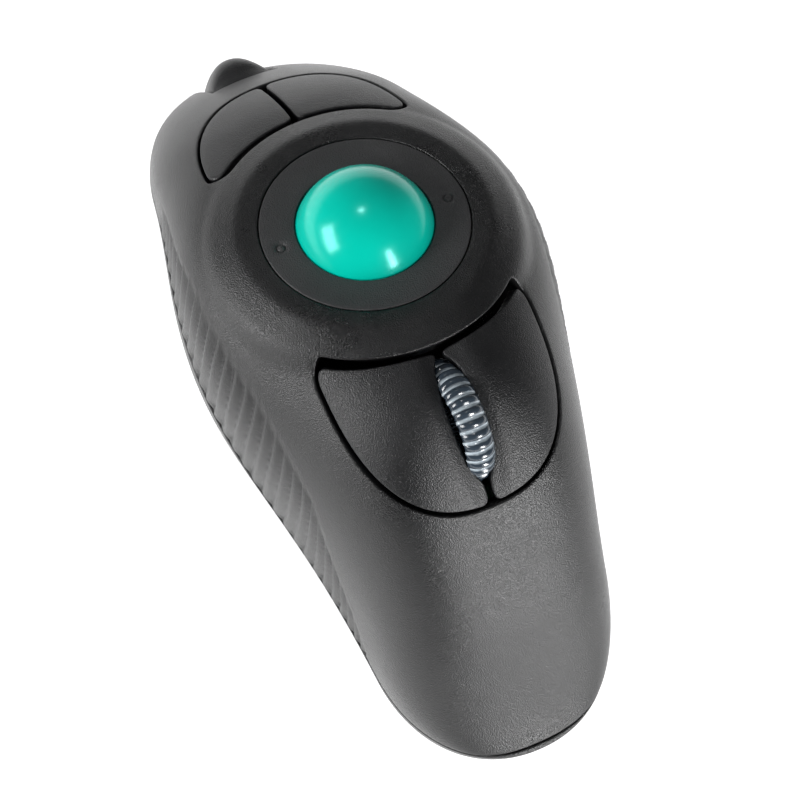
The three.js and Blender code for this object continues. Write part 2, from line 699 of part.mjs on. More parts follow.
class Helix extends THREE.Curve {
  constructor(radius, length, turns) {
    super();
    Object.assign(this, { radius, length, turns });
  }
  getPoint(t, target = new THREE.Vector3()) {
    const angle = 2 * Math.PI * this.turns * t;
    return target.set(this.radius * Math.cos(angle), this.length * t, this.radius * Math.sin(angle));
  }
}

function triggerSpring() {
  const wire = new THREE.Shape();
  wire.absarc(0, 0, 0.28, 0, 2 * Math.PI);
  const geometry = new THREE.ExtrudeGeometry(wire, {
    steps: 45,
    curveSegments: 3,
    extrudePath: new Helix(1.9, 4.6, 5),
  });
  return geometry.translate(-3.2, 60, 10.4);
}

// ---- handle contents, in the bay's frame ----
function cell() {
  return turned(
    [
      [0, -CELL_LENGTH / 2],
      [CELL_RADIUS, -CELL_LENGTH / 2],
      [CELL_RADIUS, CELL_LENGTH / 2 - 1.4],
      [CELL_RADIUS - 0.5, CELL_LENGTH / 2 - 1],
      [1.9, CELL_LENGTH / 2 - 1],
      [1.9, CELL_LENGTH / 2],
      [0, CELL_LENGTH / 2],
    ],
    20,
  ).rotateX(-Math.PI / 2);
}

function contactPlate(end) {
  const y = [end * 24.3, end * 24.8].sort((a, b) => a - b);
  let plate = solid(block([-10.4, y[0], -3.8], [10.4, y[1], 3.8]));
  for (const x of [-CELL_RADIUS - 0.35, CELL_RADIUS + 0.35]) {
    const span = [end * 22.6, end * 24.5].sort((a, b) => a - b);
    plate = plate.add(solid(rod(2, span[0], span[1], "y", [x, 0], 10)));
  }
  return geometryOf(plate);
}

function batteryDoor() {
  const column = block([-DOOR.halfWidth, DOOR.back, -5], [DOOR.halfWidth, DOOR.front, 30]);
  const plate = outer.intersect(below).intersect(solid(column));
  const grip = block([-5, DOOR.back + 3, -5], [5, DOOR.back + 6, 2.4]);
  return geometryOf(cut(plate, cavity, solid(grip)));
}

function receiverStick() {
  const { y, bottom, top } = RECEIVER;
  const cap = solid(block([-7.2, y - 3, bottom], [7.2, y + 3, bottom + 6]));
  const plug = solid(block([-6, y - 2.25, bottom + 5], [6, y + 2.25, top - 0.6]));
  return geometryOf(cap.add(plug));
}

// ---- assembly ----
const BLACK = { color: 0x1b1b1d, roughness: 0.5, metalness: 0 };
const CHARCOAL = { color: 0x242426, roughness: 0.65, metalness: 0 };
const RUBBER = { color: 0x101010, roughness: 0.85, metalness: 0 };
const STEEL = { color: 0xb8b9bc, roughness: 0.3, metalness: 1 };
const BOARD_GREEN = { color: 0x14502e, roughness: 0.45, metalness: 0 };
const CHIP = { color: 0x151515, roughness: 0.55, metalness: 0 };
const TEAL = { color: 0x00b296, roughness: 0.08, metalness: 0 };
const CLEAR = { color: 0x9fb0bc, roughness: 0.15, metalness: 0 };

const mouse = new THREE.Group();
const ringGroup = new THREE.Group();
const frontBoardGroup = new THREE.Group();
const wheelGroup = new THREE.Group();
const bayGroup = new THREE.Group();
ringGroup.applyMatrix4(RING_FRAME);
frontBoardGroup.applyMatrix4(FRONT_BOARD_FRAME);
wheelGroup.applyMatrix4(WHEEL_FRAME);
bayGroup.applyMatrix4(BAY_FRAME);
mouse.add(ringGroup, frontBoardGroup, wheelGroup, bayGroup);

function add(group, name, geometry, look) {
  const mesh = new THREE.Mesh(geometry, new THREE.MeshStandardMaterial(look));
  mesh.name = name;
  group.add(mesh);
  return mesh;
}

add(mouse, "upper_shell", geometryOf(upperShell()), BLACK);
add(mouse, "lower_shell", geometryOf(lowerShell()), BLACK);
add(mouse, "front_left_button", geometryOf(frontKey(-1)), BLACK);
add(mouse, "front_right_button", geometryOf(frontKey(1)), BLACK);
add(mouse, "rear_left_button", geometryOf(rearKey(-1)), BLACK);
add(mouse, "rear_right_button", geometryOf(rearKey(1)), BLACK);

add(ringGroup, "retaining_ring", retainingRing(), CHARCOAL);
add(ringGroup, "trackball", ballGeometry(BALL_RADIUS, 28, 16), TEAL);
add(ringGroup, "ball_cup", ballCup(), CHARCOAL);
for (let i = 0; i < 3; i++) {
  const bearing = new THREE.SphereGeometry(BEARING.radius, 10, 8);
  add(ringGroup, `support_ball_${i + 1}`, bearing, STEEL).position.set(...bearingPlace(i));
  const angle = CUP_SCREW_ANGLES[i];
  const fixing = add(ringGroup, `cup_screw_${i + 1}`, screw(1.9, 1.2, 0.8, 5.6), STEEL);
  fixing.rotation.x = Math.PI;
  fixing.position.set(
    CUP_SCREW_RADIUS * Math.cos(angle),
    CUP_SCREW_RADIUS * Math.sin(angle),
    CUP.flangeBottom - 1.2 - RUNNING_GAP,
  );
}
add(ringGroup, "sensor_lens", rod(4.2, -20.8, -19.4), CLEAR);
add(ringGroup, "optical_sensor", block([-4.8, -4, -24.2], [3.2, 4, -21.1]), CHIP);
add(ringGroup, "sensor_led", rod(1.5, -24.2, -20.4, "z", [6.6, 0], 12), TEAL);
add(ringGroup, "sensor_board", block([-10.5, -8, -26.1], [10.5, 8, -24.5]), BOARD_GREEN);

const { x: frontX, y: frontY, bottom: frontBottom } = FRONT_SWITCH;
add(frontBoardGroup, "front_left_switch", tactSwitch(-frontX, frontY, frontBottom), CHIP);
add(frontBoardGroup, "front_right_switch", tactSwitch(frontX, frontY, frontBottom), CHIP);
add(
  frontBoardGroup,
  "front_board",
  block([-14, -5, FRONT_BOARD.z - FRONT_BOARD.thick], [14, 5, FRONT_BOARD.z]),
  BOARD_GREEN,
);

const { x: rearX, y: rearY, bottom: rearBottom } = REAR_SWITCH;
add(wheelGroup, "rear_left_switch", tactSwitch(-rearX, rearY, rearBottom), CHIP);
add(wheelGroup, "rear_right_switch", tactSwitch(rearX, rearY, rearBottom), CHIP);
add(wheelGroup, "rear_board", rearBoard(), BOARD_GREEN);
add(wheelGroup, "scroll_wheel", ribbedWheel(), CLEAR);
add(wheelGroup, "wheel_axle", rod(AXLE_RADIUS, -8.4, 8.4, "x", [0, 0], 16), CHARCOAL);
add(wheelGroup, "wheel_carriage", wheelCarriage(), CHARCOAL);
add(wheelGroup, "wheel_encoder", wheelEncoder(), CHIP);
add(wheelGroup, "wheel_click_switch", tactSwitch(-8.6, 0, REAR_BOARD.z - 2.2), CHIP);

add(mouse, "trigger", triggerBlade(), BLACK);
const pinAt = [TRIGGER_PIVOT.x, TRIGGER_PIVOT.y];
add(mouse, "trigger_pin", rod(TRIGGER_PIN_RADIUS, -9, 9, "x", pinAt, 16), STEEL);
add(mouse, "trigger_spring", triggerSpring(), STEEL);
add(mouse, "trigger_switch", triggerSwitch(), CHIP);
add(mouse, "trigger_board", block([-6.2, 57.4, 5], [6.2, 59, 16.4]), BOARD_GREEN);

add(mouse, "main_board", mainBoard(), BOARD_GREEN);
add(mouse, "radio_chip", block([-4, 28, 10.8], [4, 36, 11.9]), CHIP);
add(mouse, "power_switch_body", block([-4.6, 19.6, 6.2], [4.6, 24.4, 8.6]), STEEL);
add(mouse, "power_switch_knob", block([-3.8, 20.4, 2.2], [-0.8, 23.6, 5.9]), CHARCOAL);
add(mouse, "usb_receiver", receiverStick(), CHARCOAL);

for (const [name, side] of [["battery_left", -1], ["battery_right", 1]]) {
  const battery = add(bayGroup, name, cell(), STEEL);
  battery.position.x = side * (CELL_RADIUS + 0.35);
  if (side < 0) battery.rotation.z = Math.PI;
}
add(bayGroup, "battery_contact_front", contactPlate(1), STEEL);
add(bayGroup, "battery_contact_rear", contactPlate(-1), STEEL);
add(mouse, "battery_door", batteryDoor(), BLACK);

for (const foot of FEET) add(mouse, foot.name, prism(padOutline(foot, 0.3), 0, FOOT_TOP - 0.3), RUBBER);

for (const { name, x, y } of SHELL_SCREWS) {
  const { head, headHeight, shank, length } = CASE_SCREW;
  const fixing = add(mouse, name, screw(head, headHeight, shank, length), STEEL);
  fixing.rotation.x = Math.PI;
  fixing.position.set(x, y, seamAt(y) - SCREW_SEAT - headHeight - RUNNING_GAP);
}

export default mouse;
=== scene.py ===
import json
import math

import bpy
import numpy as np
from mathutils import Matrix, Vector
from mathutils.geometry import delaunay_2d_cdt


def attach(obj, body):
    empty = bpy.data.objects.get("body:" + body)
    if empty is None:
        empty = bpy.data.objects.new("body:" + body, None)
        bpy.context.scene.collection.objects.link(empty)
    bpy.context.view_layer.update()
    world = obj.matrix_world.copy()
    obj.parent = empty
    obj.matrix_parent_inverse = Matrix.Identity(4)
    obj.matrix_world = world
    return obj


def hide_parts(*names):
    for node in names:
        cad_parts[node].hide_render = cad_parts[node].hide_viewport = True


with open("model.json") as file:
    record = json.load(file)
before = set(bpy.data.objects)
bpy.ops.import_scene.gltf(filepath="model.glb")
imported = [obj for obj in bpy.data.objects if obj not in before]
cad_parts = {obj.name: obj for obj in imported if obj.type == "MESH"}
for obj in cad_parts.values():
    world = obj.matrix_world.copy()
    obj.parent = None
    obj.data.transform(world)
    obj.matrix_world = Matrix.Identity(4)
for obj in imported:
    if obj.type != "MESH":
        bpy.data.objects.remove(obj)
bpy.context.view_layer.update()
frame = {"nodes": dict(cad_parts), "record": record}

MM = 0.001

# ---- driving sizes, in millimetres, as in the frame's own source ----
RING_CENTRE = np.array([0.0, 21.3, 57.0])
RING_TILT = math.radians(-20)
RING_RADIUS = 18.5
RING_BORE = 12.25
RING_THICK = 2.0
RING_GAP = 0.3
RING_BORE_ROLL = 0.25
DIMPLE_ANGLES = (-6, 174)
DIMPLE_OFFSET = 15.45
DIMPLE_RADIUS, DIMPLE_HALF_WIDTH, DIMPLE_DEPTH = 0.8, 0.28, 0.3
BALL_RADIUS = 12.7
BALL_DEPTH = 4.15
COLLAR_RADIUS = 27.2
SEAT_BASE = -4.8  # underside of the ring's seat, in the ring's frame
FIRST_SECTION = 85.3
SECTION_PITCH = 20
HALF_WIDTH = [23.5, 21.5, 25.5, 33, 34.5, 29, 24, 22, 22, 24]
CROWN = [-3, 28, 47.5, 56.5, 62.5, 67.5, 54.5, 33, 10, -6]
WAIST = [-17, 9.5, 29, 38, 34, 25, 16, 11, 12, 18]
KEEL = [0.8, 0.8, 0.8, 0.8, 5, 12, 7, 0.8, 0.8, 0.8]
PARTING = [-8, 9.5, 23.5, 33, 30.5, 21.5, 14, 11.5, 13, 19]
ROUNDNESS = [2, 2, 2.6, 4, 2.2, 2.3, 3.1, 2.4, 2.2, 2.2]
BELLY_ROUNDNESS = 2.6
NOSE_END, NOSE_LENGTH, NOSE_POWER = 71.1, 22, 2
NOSE_TIP = NOSE_END - 0.01  # as far forward as an edge is traced
TAIL_END, TAIL_LENGTH, TAIL_POWER = -71.8, 24, 2.1
FACET_FIT = 0.997  # keeps the smooth skin within the frame's flat facets
SHELL_THICK = 2.0
SHELL_WALL = 1.9
PARTING_GAP = 0.3
KEY_THICK = 1.8
KEY_GAP = 0.4
KEY_SPLIT = 0.5
KEY_COLLAR_GAP = 1.1
FRONT_CORNERS = {"window": 1.4, "key": 1.0}
REAR_CORNERS = {"window": 0.9, "key": 0.8}
FRONT_ARC = {"centre": 18.7, "across": 19.7, "along": 25, "power": 2.3}
FRONT_INNER = COLLAR_RADIUS + KEY_COLLAR_GAP
FRONT_HEEL_X = 17.6
FRONT_HEEL_ANGLE = math.radians(8)
REAR_CURVE = {"centre": -3.5, "across": 20.2, "along": 29, "ahead": 8.5, "power": 2.5}
REAR_CURVE_START = -math.radians(40)
WHEEL_CENTRE = np.array([0.0, -16.85, 55.3])
WHEEL_TILT = math.radians(12.67)
WHEEL_RADIUS = 11.3
WHEEL_HALF_WIDTH = 2.7
WHEEL_RIBS = 32
SLOT_ACROSS, SLOT_ALONG = 2.9, 11.0
SLOT_CENTRE_Y = -17.8
DISH_DEPTH, DISH_WIDTH = 0.9, 1.7
TRIGGER_HALF_WIDTH = 6.1
TRIGGER_PIN = (59.3, 21.0)
TRIGGER_EYE_RADIUS = 2.4
TRIGGER_WINDOW = {"half": 6.6, "back": 61.9, "top": 22.8}
DOOR = {"half": 11, "front": -7.2, "back": -54.2}
DOOR_GAP, DOOR_THICK = 0.3, 1.7
DOOR_GRIP = {"y": -49.4, "across": 5.5, "along": 2.4, "depth": 1.1}
FEET = {
    "foot_front_left": (-13, 40, 5.5, 3),
    "foot_front_right": (13, 40, 5.5, 3),
    "foot_rear": (0, -59.5, 7, 2.6),
}
FOOT_GAP, FOOT_THICK = 0.3, 1.9
SHELL_SCREWS = [(26.5, 22), (-26.5, 22), (17, -35.5), (-17, -35.5)]
SCREW_WELL_RADIUS = 2.7
SWITCH_SLOT = {"y": 22, "half_length": 4.2, "half_width": 2.2}
RECEIVER = {"y": 3.6, "half_length": 7.6, "half_width": 3.4}
CELL_RADIUS, CELL_LENGTH = 5.25, 44.5
CELL_SPACING = CELL_RADIUS + 0.35
BAY_CENTRE = np.array([0, -30.7, 16.1])
BAY_TILT = math.radians(12)

EDGE = 0.35  # radius of the moulded edges
RING_EDGE = EDGE * 0.6  # the ring's own edges are sharper
GRID = 1.1  # spacing of the skin's points
RIB_GRID = 0.5  # the same where the ribs are
TRACE_STEPS = 3000  # points along the body when an edge is traced on it
AROUND = 34.0  # millimetres of skin per radian round the section
ALONG = 170.0  # millimetres of skin from tail to nose


# ---- body surface ----
def along(controls, y):
    """The value at y of the cubic B-spline whose controls run from the nose to the tail."""
    controls = np.asarray(controls, float)
    t = (FIRST_SECTION - y) / SECTION_PITCH - 1
    i = np.clip(np.floor(t).astype(int), 0, len(controls) - 4)
    u = t - i
    weights = [(1 - u) ** 3, 3 * u**3 - 6 * u**2 + 4, -3 * u**3 + 3 * u**2 + 3 * u + 1, u**3]
    return sum(w * controls[i + k] for k, w in enumerate(weights)) / 6


def end_share(y):
    """How much of its full size the section keeps where the nose and the tail round off."""
    nose = np.clip((y - (NOSE_END - NOSE_LENGTH)) / NOSE_LENGTH, 0, 1)
    tail = np.clip((TAIL_END + TAIL_LENGTH - y) / TAIL_LENGTH, 0, 1)
    return (1 - nose**NOSE_POWER) ** (1 / NOSE_POWER) * (1 - tail**TAIL_POWER) ** (1 / TAIL_POWER)


def section(y):
    """Half width, height above the waist, depth below it, and the waist's height, at y."""
    share = end_share(y)
    waist = along(WAIST, y)
    up = np.maximum(along(CROWN, y) - waist, 0.5) * share
    down = np.maximum(waist - along(KEEL, y), 0.5) * share
    return along(HALF_WIDTH, y) * share * FACET_FIT, up, down, waist


def body_point(angle, y):
    """The point of the plain body at a section angle, counted from the right-hand side."""
    half, up, down, waist = section(y)
    sine, cosine = np.sin(angle), np.cos(angle)
    power = 2 / np.where(sine > 0, along(ROUNDNESS, y), BELLY_ROUNDNESS)
    x = half * np.sign(cosine) * np.abs(cosine) ** power
    z = waist + np.where(sine > 0, up, down) * np.sign(sine) * np.abs(sine) ** power
    return np.stack([x, y, z], -1)


def top_height(x, y):
    """The plain body's upper surface over the plan."""
    half, up, _, waist = section(y)
    roundness = along(ROUNDNESS, y)
    cosine = np.clip(np.abs(x) / np.maximum(half, 1e-6), 0, 1) ** (roundness / 2)
    return waist + up * (1 - cosine**2) ** (1 / roundness)


def bottom_height(x, y):
    """The plain body's underside over the plan."""
    half, _, down, waist = section(y)
    cosine = np.clip(np.abs(x) / np.maximum(half, 1e-6), 0, 1) ** (BELLY_ROUNDNESS / 2)
    return waist - down * (1 - cosine**2) ** (1 / BELLY_ROUNDNESS)


MIDDLE_Y = (NOSE_END + TAIL_END) / 2
HALF_LENGTH = (NOSE_END - TAIL_END) / 2


def to_chart(angle, y):
    """Section angle and y as a flat chart in millimetres, on which the skins are meshed."""
    share = np.clip((MIDDLE_Y - y) / HALF_LENGTH, -1, 1)
    return np.stack([angle * AROUND, np.arccos(share) / math.pi * ALONG], -1)


def from_chart(chart):
    y = MIDDLE_Y - HALF_LENGTH * np.cos(math.pi * np.clip(chart[:, 1] / ALONG, 0, 1))
    return chart[:, 0] / AROUND, y


def upper_angle(x, y):
    """The section angle of the upper surface's point over (x, y)."""
    half = section(y)[0]
    cosine = np.clip(np.abs(x) / half, 0, 1) ** (along(ROUNDNESS, y) / 2)
    return np.arccos(np.sign(x) * cosine)


def lower_angle(x, y):
    """The section angle of the underside's point at (x, y)."""
    half = section(y)[0]
    cosine = np.clip(np.abs(x) / half, 0, 1) ** (BELLY_ROUNDNESS / 2)
    return -np.arccos(np.sign(x) * cosine)


# ---- the ring's frame ----
COS, SIN = math.cos(RING_TILT), math.sin(RING_TILT)
DROP_FROM, DROP_TO = 12.0, -40.0  # heights over the ring's plane between which the body lies
DROP_HALVINGS = 40


def from_ring(points):
    x, y, z = points[..., 0], points[..., 1], points[..., 2]
    return np.stack([x, y * COS - z * SIN, y * SIN + z * COS], -1) + RING_CENTRE


def to_ring(points):
    x, y, z = np.moveaxis(points - RING_CENTRE, -1, 0)
    return np.stack([x, y * COS + z * SIN, z * COS - y * SIN], -1)


def drop_on_body(flat):
    """The point of the plain body under each point of the ring's plane."""
    low = np.full(len(flat), DROP_TO)
    high = np.full(len(flat), DROP_FROM)
    for _ in range(DROP_HALVINGS):
        middle = (low + high) / 2
        world = from_ring(np.column_stack([flat, middle]))
        outside = world[:, 2] > top_height(world[:, 0], world[:, 1])
        high = np.where(outside, middle, high)
        low = np.where(outside, low, middle)
    return from_ring(np.column_stack([flat, high]))


COLLAR_PROFILE = np.array([
    [0, 0], [21.4, 0], [22.2, -0.1], [22.9, -0.35], [23.8, -0.85], [25, -1.6], [26.2, -2.4],
    [27.2, -3.2], [28, -4.2], [28.8, -6], [29.6, -9], [30.5, -60], [99, -60],
])
COLLAR_BLEND = 2.2
COLLAR_FLAT, COLLAR_FLAT_FADE = 22.5, 1.5
COLLAR_FOOT = -30.0  # the collar ends above this height in the ring's frame
COLLAR_INNER_FOOT = -12.0  # and its inner face above this one


def collar_lift(points):
    """Raises the round platform out of the body, with a hollow blend round its foot."""
    ring = to_ring(points)
    radius = np.hypot(ring[:, 0], ring[:, 1])
    platform = np.interp(radius, COLLAR_PROFILE[:, 0], COLLAR_PROFILE[:, 1])
    height = ring[:, 2]
    overlap = np.clip(1 - np.abs(platform - height) / COLLAR_BLEND, 0, 1)
    lifted = np.maximum(platform, height) + overlap**2 * COLLAR_BLEND / 4
    flat_top = np.clip((COLLAR_FLAT - radius) / COLLAR_FLAT_FADE, 0, 1)
    lifted = lifted * (1 - flat_top) + platform * flat_top
    above = (points[:, 2] > along(WAIST, points[:, 1])) & (height > COLLAR_FOOT)
    ring[:, 2] = np.where(above, lifted, height)
    return from_ring(ring)


# ---- finger ribs on both flanks ----
RIB_PITCH = 3.15
RIB_SWEEP, RIB_CURL = 6.5, 7.0
RIB_DEPTH = 0.85
RIB_FRONT, RIB_BACK = 44.0, -50.0
RIB_CREST = 0.62  # where in its pitch a rib is highest
RIB_TIP_WAVE, RIB_TIP_INSET, RIB_TIP_FADE = 0.9, 0.6, 2.0
RIB_END_FADE = 6
RIB_SEAM_SHARE, RIB_SEAM_FADE = 0.35, 3.0
RIB_LINE_Y = [-52, -36, -18, -8, 1, 13, 22, 27, 40, 47]
RIB_LINE_Z = [6, 24.5, 44, 48, 50.5, 51.5, 50, 47.5, 37, 31]


def rib_depth(points):
    """How deep the skin is pressed in between the ribs, which hang from the rib line."""
    _, y, z = points.T
    below = np.interp(y, RIB_LINE_Y, RIB_LINE_Z) - z
    phase = (y + RIB_SWEEP * (1 - np.exp(-np.clip(below, 0, None) / RIB_CURL))) / RIB_PITCH
    step = phase - np.floor(phase)
    rising = np.clip(1 - np.abs(step - RIB_CREST) / RIB_CREST, 0, 1) ** 0.6
    falling = np.clip((1 - step) / (1 - RIB_CREST), 0, 1) ** 0.7
    bar = np.where(step > RIB_CREST, falling, rising)
    tip = below + RIB_TIP_WAVE * np.sin(math.pi * step) - RIB_TIP_INSET
    own_top = np.clip(tip / RIB_TIP_FADE, 0, 1)
    front_end = np.clip((RIB_FRONT - y) / RIB_END_FADE, 0, 1)
    back_end = np.clip((y - RIB_BACK) / RIB_END_FADE, 0, 1)
    ends = front_end * back_end
    over_seam = (z - along(PARTING, y)) / RIB_SEAM_FADE
    at_seam = np.clip(RIB_SEAM_SHARE + over_seam, RIB_SEAM_SHARE, 1)
    return RIB_DEPTH * (1 - bar) * own_top**1.5 * np.sqrt(ends) * at_seam


# ---- mesh tools ----
def resampled(points, step, closed=True):
    """The same line with its points evenly spaced."""
    points = np.asarray(points, float)
    if closed:
        points = np.vstack([points, points[:1]])
    reach = np.concatenate([[0], np.cumsum(np.linalg.norm(np.diff(points, axis=0), axis=1))])
    count = max(int(round(reach[-1] / step)), 3)
    at = np.linspace(0, reach[-1], count + 1)
    if closed:
        at = at[:-1]
    return np.column_stack([np.interp(at, reach, points[:, k]) for k in range(points.shape[1])])


def rounded(points, radius, step=0.4):
    """A closed outline with its corners rounded, by a few passes of averaging."""
    outline = resampled(points, step)
    for _ in range(max(int(radius**2 / step**2 * 1.2), 1)):
        outline = outline / 2 + np.roll(outline, 1, 0) / 4 + np.roll(outline, -1, 0) / 4
    return outline


def inside(points, outline):
    """Which flat points a closed outline holds."""
    result = np.zeros(len(points), bool)
    x, y = points.T
    for (x1, y1), (x2, y2) in zip(outline, np.roll(outline, -1, 0)):
        if y1 == y2:
            continue
        crosses = (y1 > y) != (y2 > y)
        result ^= crosses & (x < (x2 - x1) * (y - y1) / (y2 - y1) + x1)
    return result


def hex_grid(low, high, step):
    rows = np.arange(low[1], high[1] + step, step * 0.866)
    columns = np.arange(low[0], high[0] + step, step)
    x, y = np.meshgrid(columns, rows)
    x[1::2] += step / 2
    return np.column_stack([x.ravel(), y.ravel()])


def spaced_from(points, fixed, distance):
    """The points that are at least a distance from every fixed point."""
    keep = np.ones(len(points), bool)
    cells = {}
    for index, (x, y) in enumerate(fixed):
        cells.setdefault((int(x // distance), int(y // distance)), []).append(index)
    for index, (x, y) in enumerate(points):
        cx, cy = int(x // distance), int(y // distance)
        for dx in (-1, 0, 1):
            for dy in (-1, 0, 1):
                for other in cells.get((cx + dx, cy + dy), ()):
                    if (x - fixed[other][0]) ** 2 + (y - fixed[other][1]) ** 2 < distance**2:
                        keep[index] = False
    return points[keep]


def triangulated(loops, keep, step, fine=None):
    """Triangles of the flat region that keep() accepts, with every loop as an edge in it."""
    everything = np.vstack(loops)
    low, high = everything.min(0), everything.max(0)
    grid = hex_grid(low, high, step)
    grid = grid[keep(grid)]
    if fine is not None:
        fine_step, where = fine
        dense = hex_grid(low, high, fine_step)
        dense = dense[keep(dense)]
        grid = np.vstack([grid[~where(grid)], dense[where(dense)]])
    grid = spaced_from(grid, everything, 0.55 * (fine[0] if fine else step))
    points = [Vector(p) for p in np.vstack([everything, grid])]
    edges = []
    start = 0
    for loop in loops:
        count = len(loop)
        edges += [(start + i, start + (i + 1) % count) for i in range(count)]
        start += count
    corners, _, faces = delaunay_2d_cdt(points, edges, [], 0, 1e-6)[:3]
    corners = np.array([c[:] for c in corners])
    faces = np.array([f for f in faces if len(f) == 3])
    centres = corners[faces].mean(1)
    return corners, faces[keep(centres)]


def merged(points, faces, distance=1e-3):
    """The mesh with coincident points joined and the faces that this flattens left out."""
    keys = np.round(points / distance).astype(np.int64)
    _, first, index = np.unique(keys, axis=0, return_index=True, return_inverse=True)
    faces = index.ravel()[faces]
    points = points[first]
    a, b, c = faces.T
    real = (a != b) & (b != c) & (c != a)
    faces = faces[real]
    used, faces = np.unique(faces, return_inverse=True)
    return points[used], faces.reshape(-1, 3)


def vertex_normals(points, faces):
    a, b, c = points[faces[:, 0]], points[faces[:, 1]], points[faces[:, 2]]
    cross = np.cross(b - a, c - a)
    normals = np.zeros_like(points)
    for k in range(3):
        np.add.at(normals, faces[:, k], cross)
    length = np.linalg.norm(normals, axis=1, keepdims=True)
    return normals / np.maximum(length, 1e-12)


def rim_loops(faces):
    """The open edges of a triangle mesh, as closed runs of vertices."""
    directed = {(int(f[i]), int(f[(i + 1) % 3])) for f in faces for i in range(3)}
    following = {a: b for a, b in directed if (b, a) not in directed}
    loops = []
    while following:
        start = next(iter(following))
        run = [start]
        at = following.pop(start)
        while at != start and at in following:
            run.append(at)
            at = following.pop(at)
        loops.append(run)
    return loops


def thickened(points, faces, wall, thickness, edge=EDGE, inner_limit=None):
    """A closed shell from an open skin: rolled edges, walls, and an inner face."""
    normals = vertex_normals(points, faces)
    inner = points - normals * thickness
    if inner_limit is not None:
        inner = inner_limit(inner)
    count = len(points)
    blocks = [points, inner]
    quads = []
    total = 2 * count
    turns = np.radians([22.5, 45, 67.5, 90])
    for loop in rim_loops(faces):
        ring = np.array(loop)
        size = len(ring)
        if size < 3:
            continue
        tangent = points[np.roll(ring, -1)] - points[np.roll(ring, 1)]
        outward = np.cross(tangent, normals[ring])
        outward /= np.maximum(np.linalg.norm(outward, axis=1, keepdims=True), 1e-9)
        for _ in range(2):
            outward = outward / 2 + np.roll(outward, 1, 0) / 4 + np.roll(outward, -1, 0) / 4
            outward /= np.linalg.norm(outward, axis=1, keepdims=True)
        rim, normal = points[ring], normals[ring]
        rows = [
            rim + outward * edge * math.sin(t) - normal * edge * (1 - math.cos(t))
            for t in turns
        ]
        rows.append(rim + outward * edge - normal * wall)
        previous = ring
        for row in rows:
            current = np.arange(total, total + size)
            blocks.append(row)
            total += size
            ahead, behind = np.roll(current, -1), np.roll(previous, -1)
            quads.append(np.column_stack([behind, previous, current, ahead]))
            previous = current
        ahead, behind = np.roll(ring, -1) + count, np.roll(previous, -1)
        quads.append(np.column_stack([behind, previous, ring + count, ahead]))
    triangles = [tuple(f) for f in faces]
    triangles += [tuple(f) for f in faces[:, ::-1] + count]
    return np.vstack(blocks), triangles + [tuple(q) for block in quads for q in block]


def piece(name, points, faces, body, slot, nodes=()):
    """A new object from millimetre points: it rides on a body and stands for CAD nodes."""
    mesh = bpy.data.meshes.new(name)
    corners = [tuple(p) for p in np.asarray(points) * MM]
    mesh.from_pydata(corners, [], [tuple(map(int, f)) for f in faces])
    mesh.validate()
    mesh.shade_smooth()
    made = bpy.data.objects.new(name, mesh)
    bpy.context.scene.collection.objects.link(made)
    mesh.materials.append(LOOKS[slot])
    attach(made, body)
    if nodes:
        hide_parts(*nodes)
    return made


def lathe(profile, sides):
    """A turned solid about Z from (radius, height) points, on the axis at both ends or closed."""
    points, faces, rings = [], [], []
    closed = profile[0][0] > 0
    for radius, height in profile:
        if radius == 0:
            rings.append([len(points)])
            points.append((0, 0, height))
            continue
        rings.append(list(range(len(points), len(points) + sides)))
        for i in range(sides):
            angle = 2 * math.pi * i / sides
            points.append((radius * math.cos(angle), radius * math.sin(angle), height))
    pairs = list(zip(rings, rings[1:] + rings[:1] if closed else rings[1:]))
    for first, second in pairs:
        for i in range(sides):
            j = (i + 1) % sides
            if len(first) == 1:
                faces.append((first[0], second[i], second[j]))
            elif len(second) == 1:
                faces.append((first[i], second[0], first[j]))
            else:
                faces.append((first[i], second[i], second[j], first[j]))
    return np.array(points, float), faces


def arc(centre, radius, start, end, steps=5):
    """Points of an arc, as (radius, height) for lathe()."""
    turns = np.radians(np.linspace(start, end, steps + 1))
    return [(centre[0] + radius * math.cos(t), centre[1] + radius * math.sin(t)) for t in turns]


def tilted(points, centre, tilt):
    """Points turned about the X axis and moved to a centre."""
    x, y, z = np.asarray(points, float).T
    c, s = math.cos(tilt), math.sin(tilt)
    return np.column_stack([x, y * c - z * s, y * s + z * c]) + centre


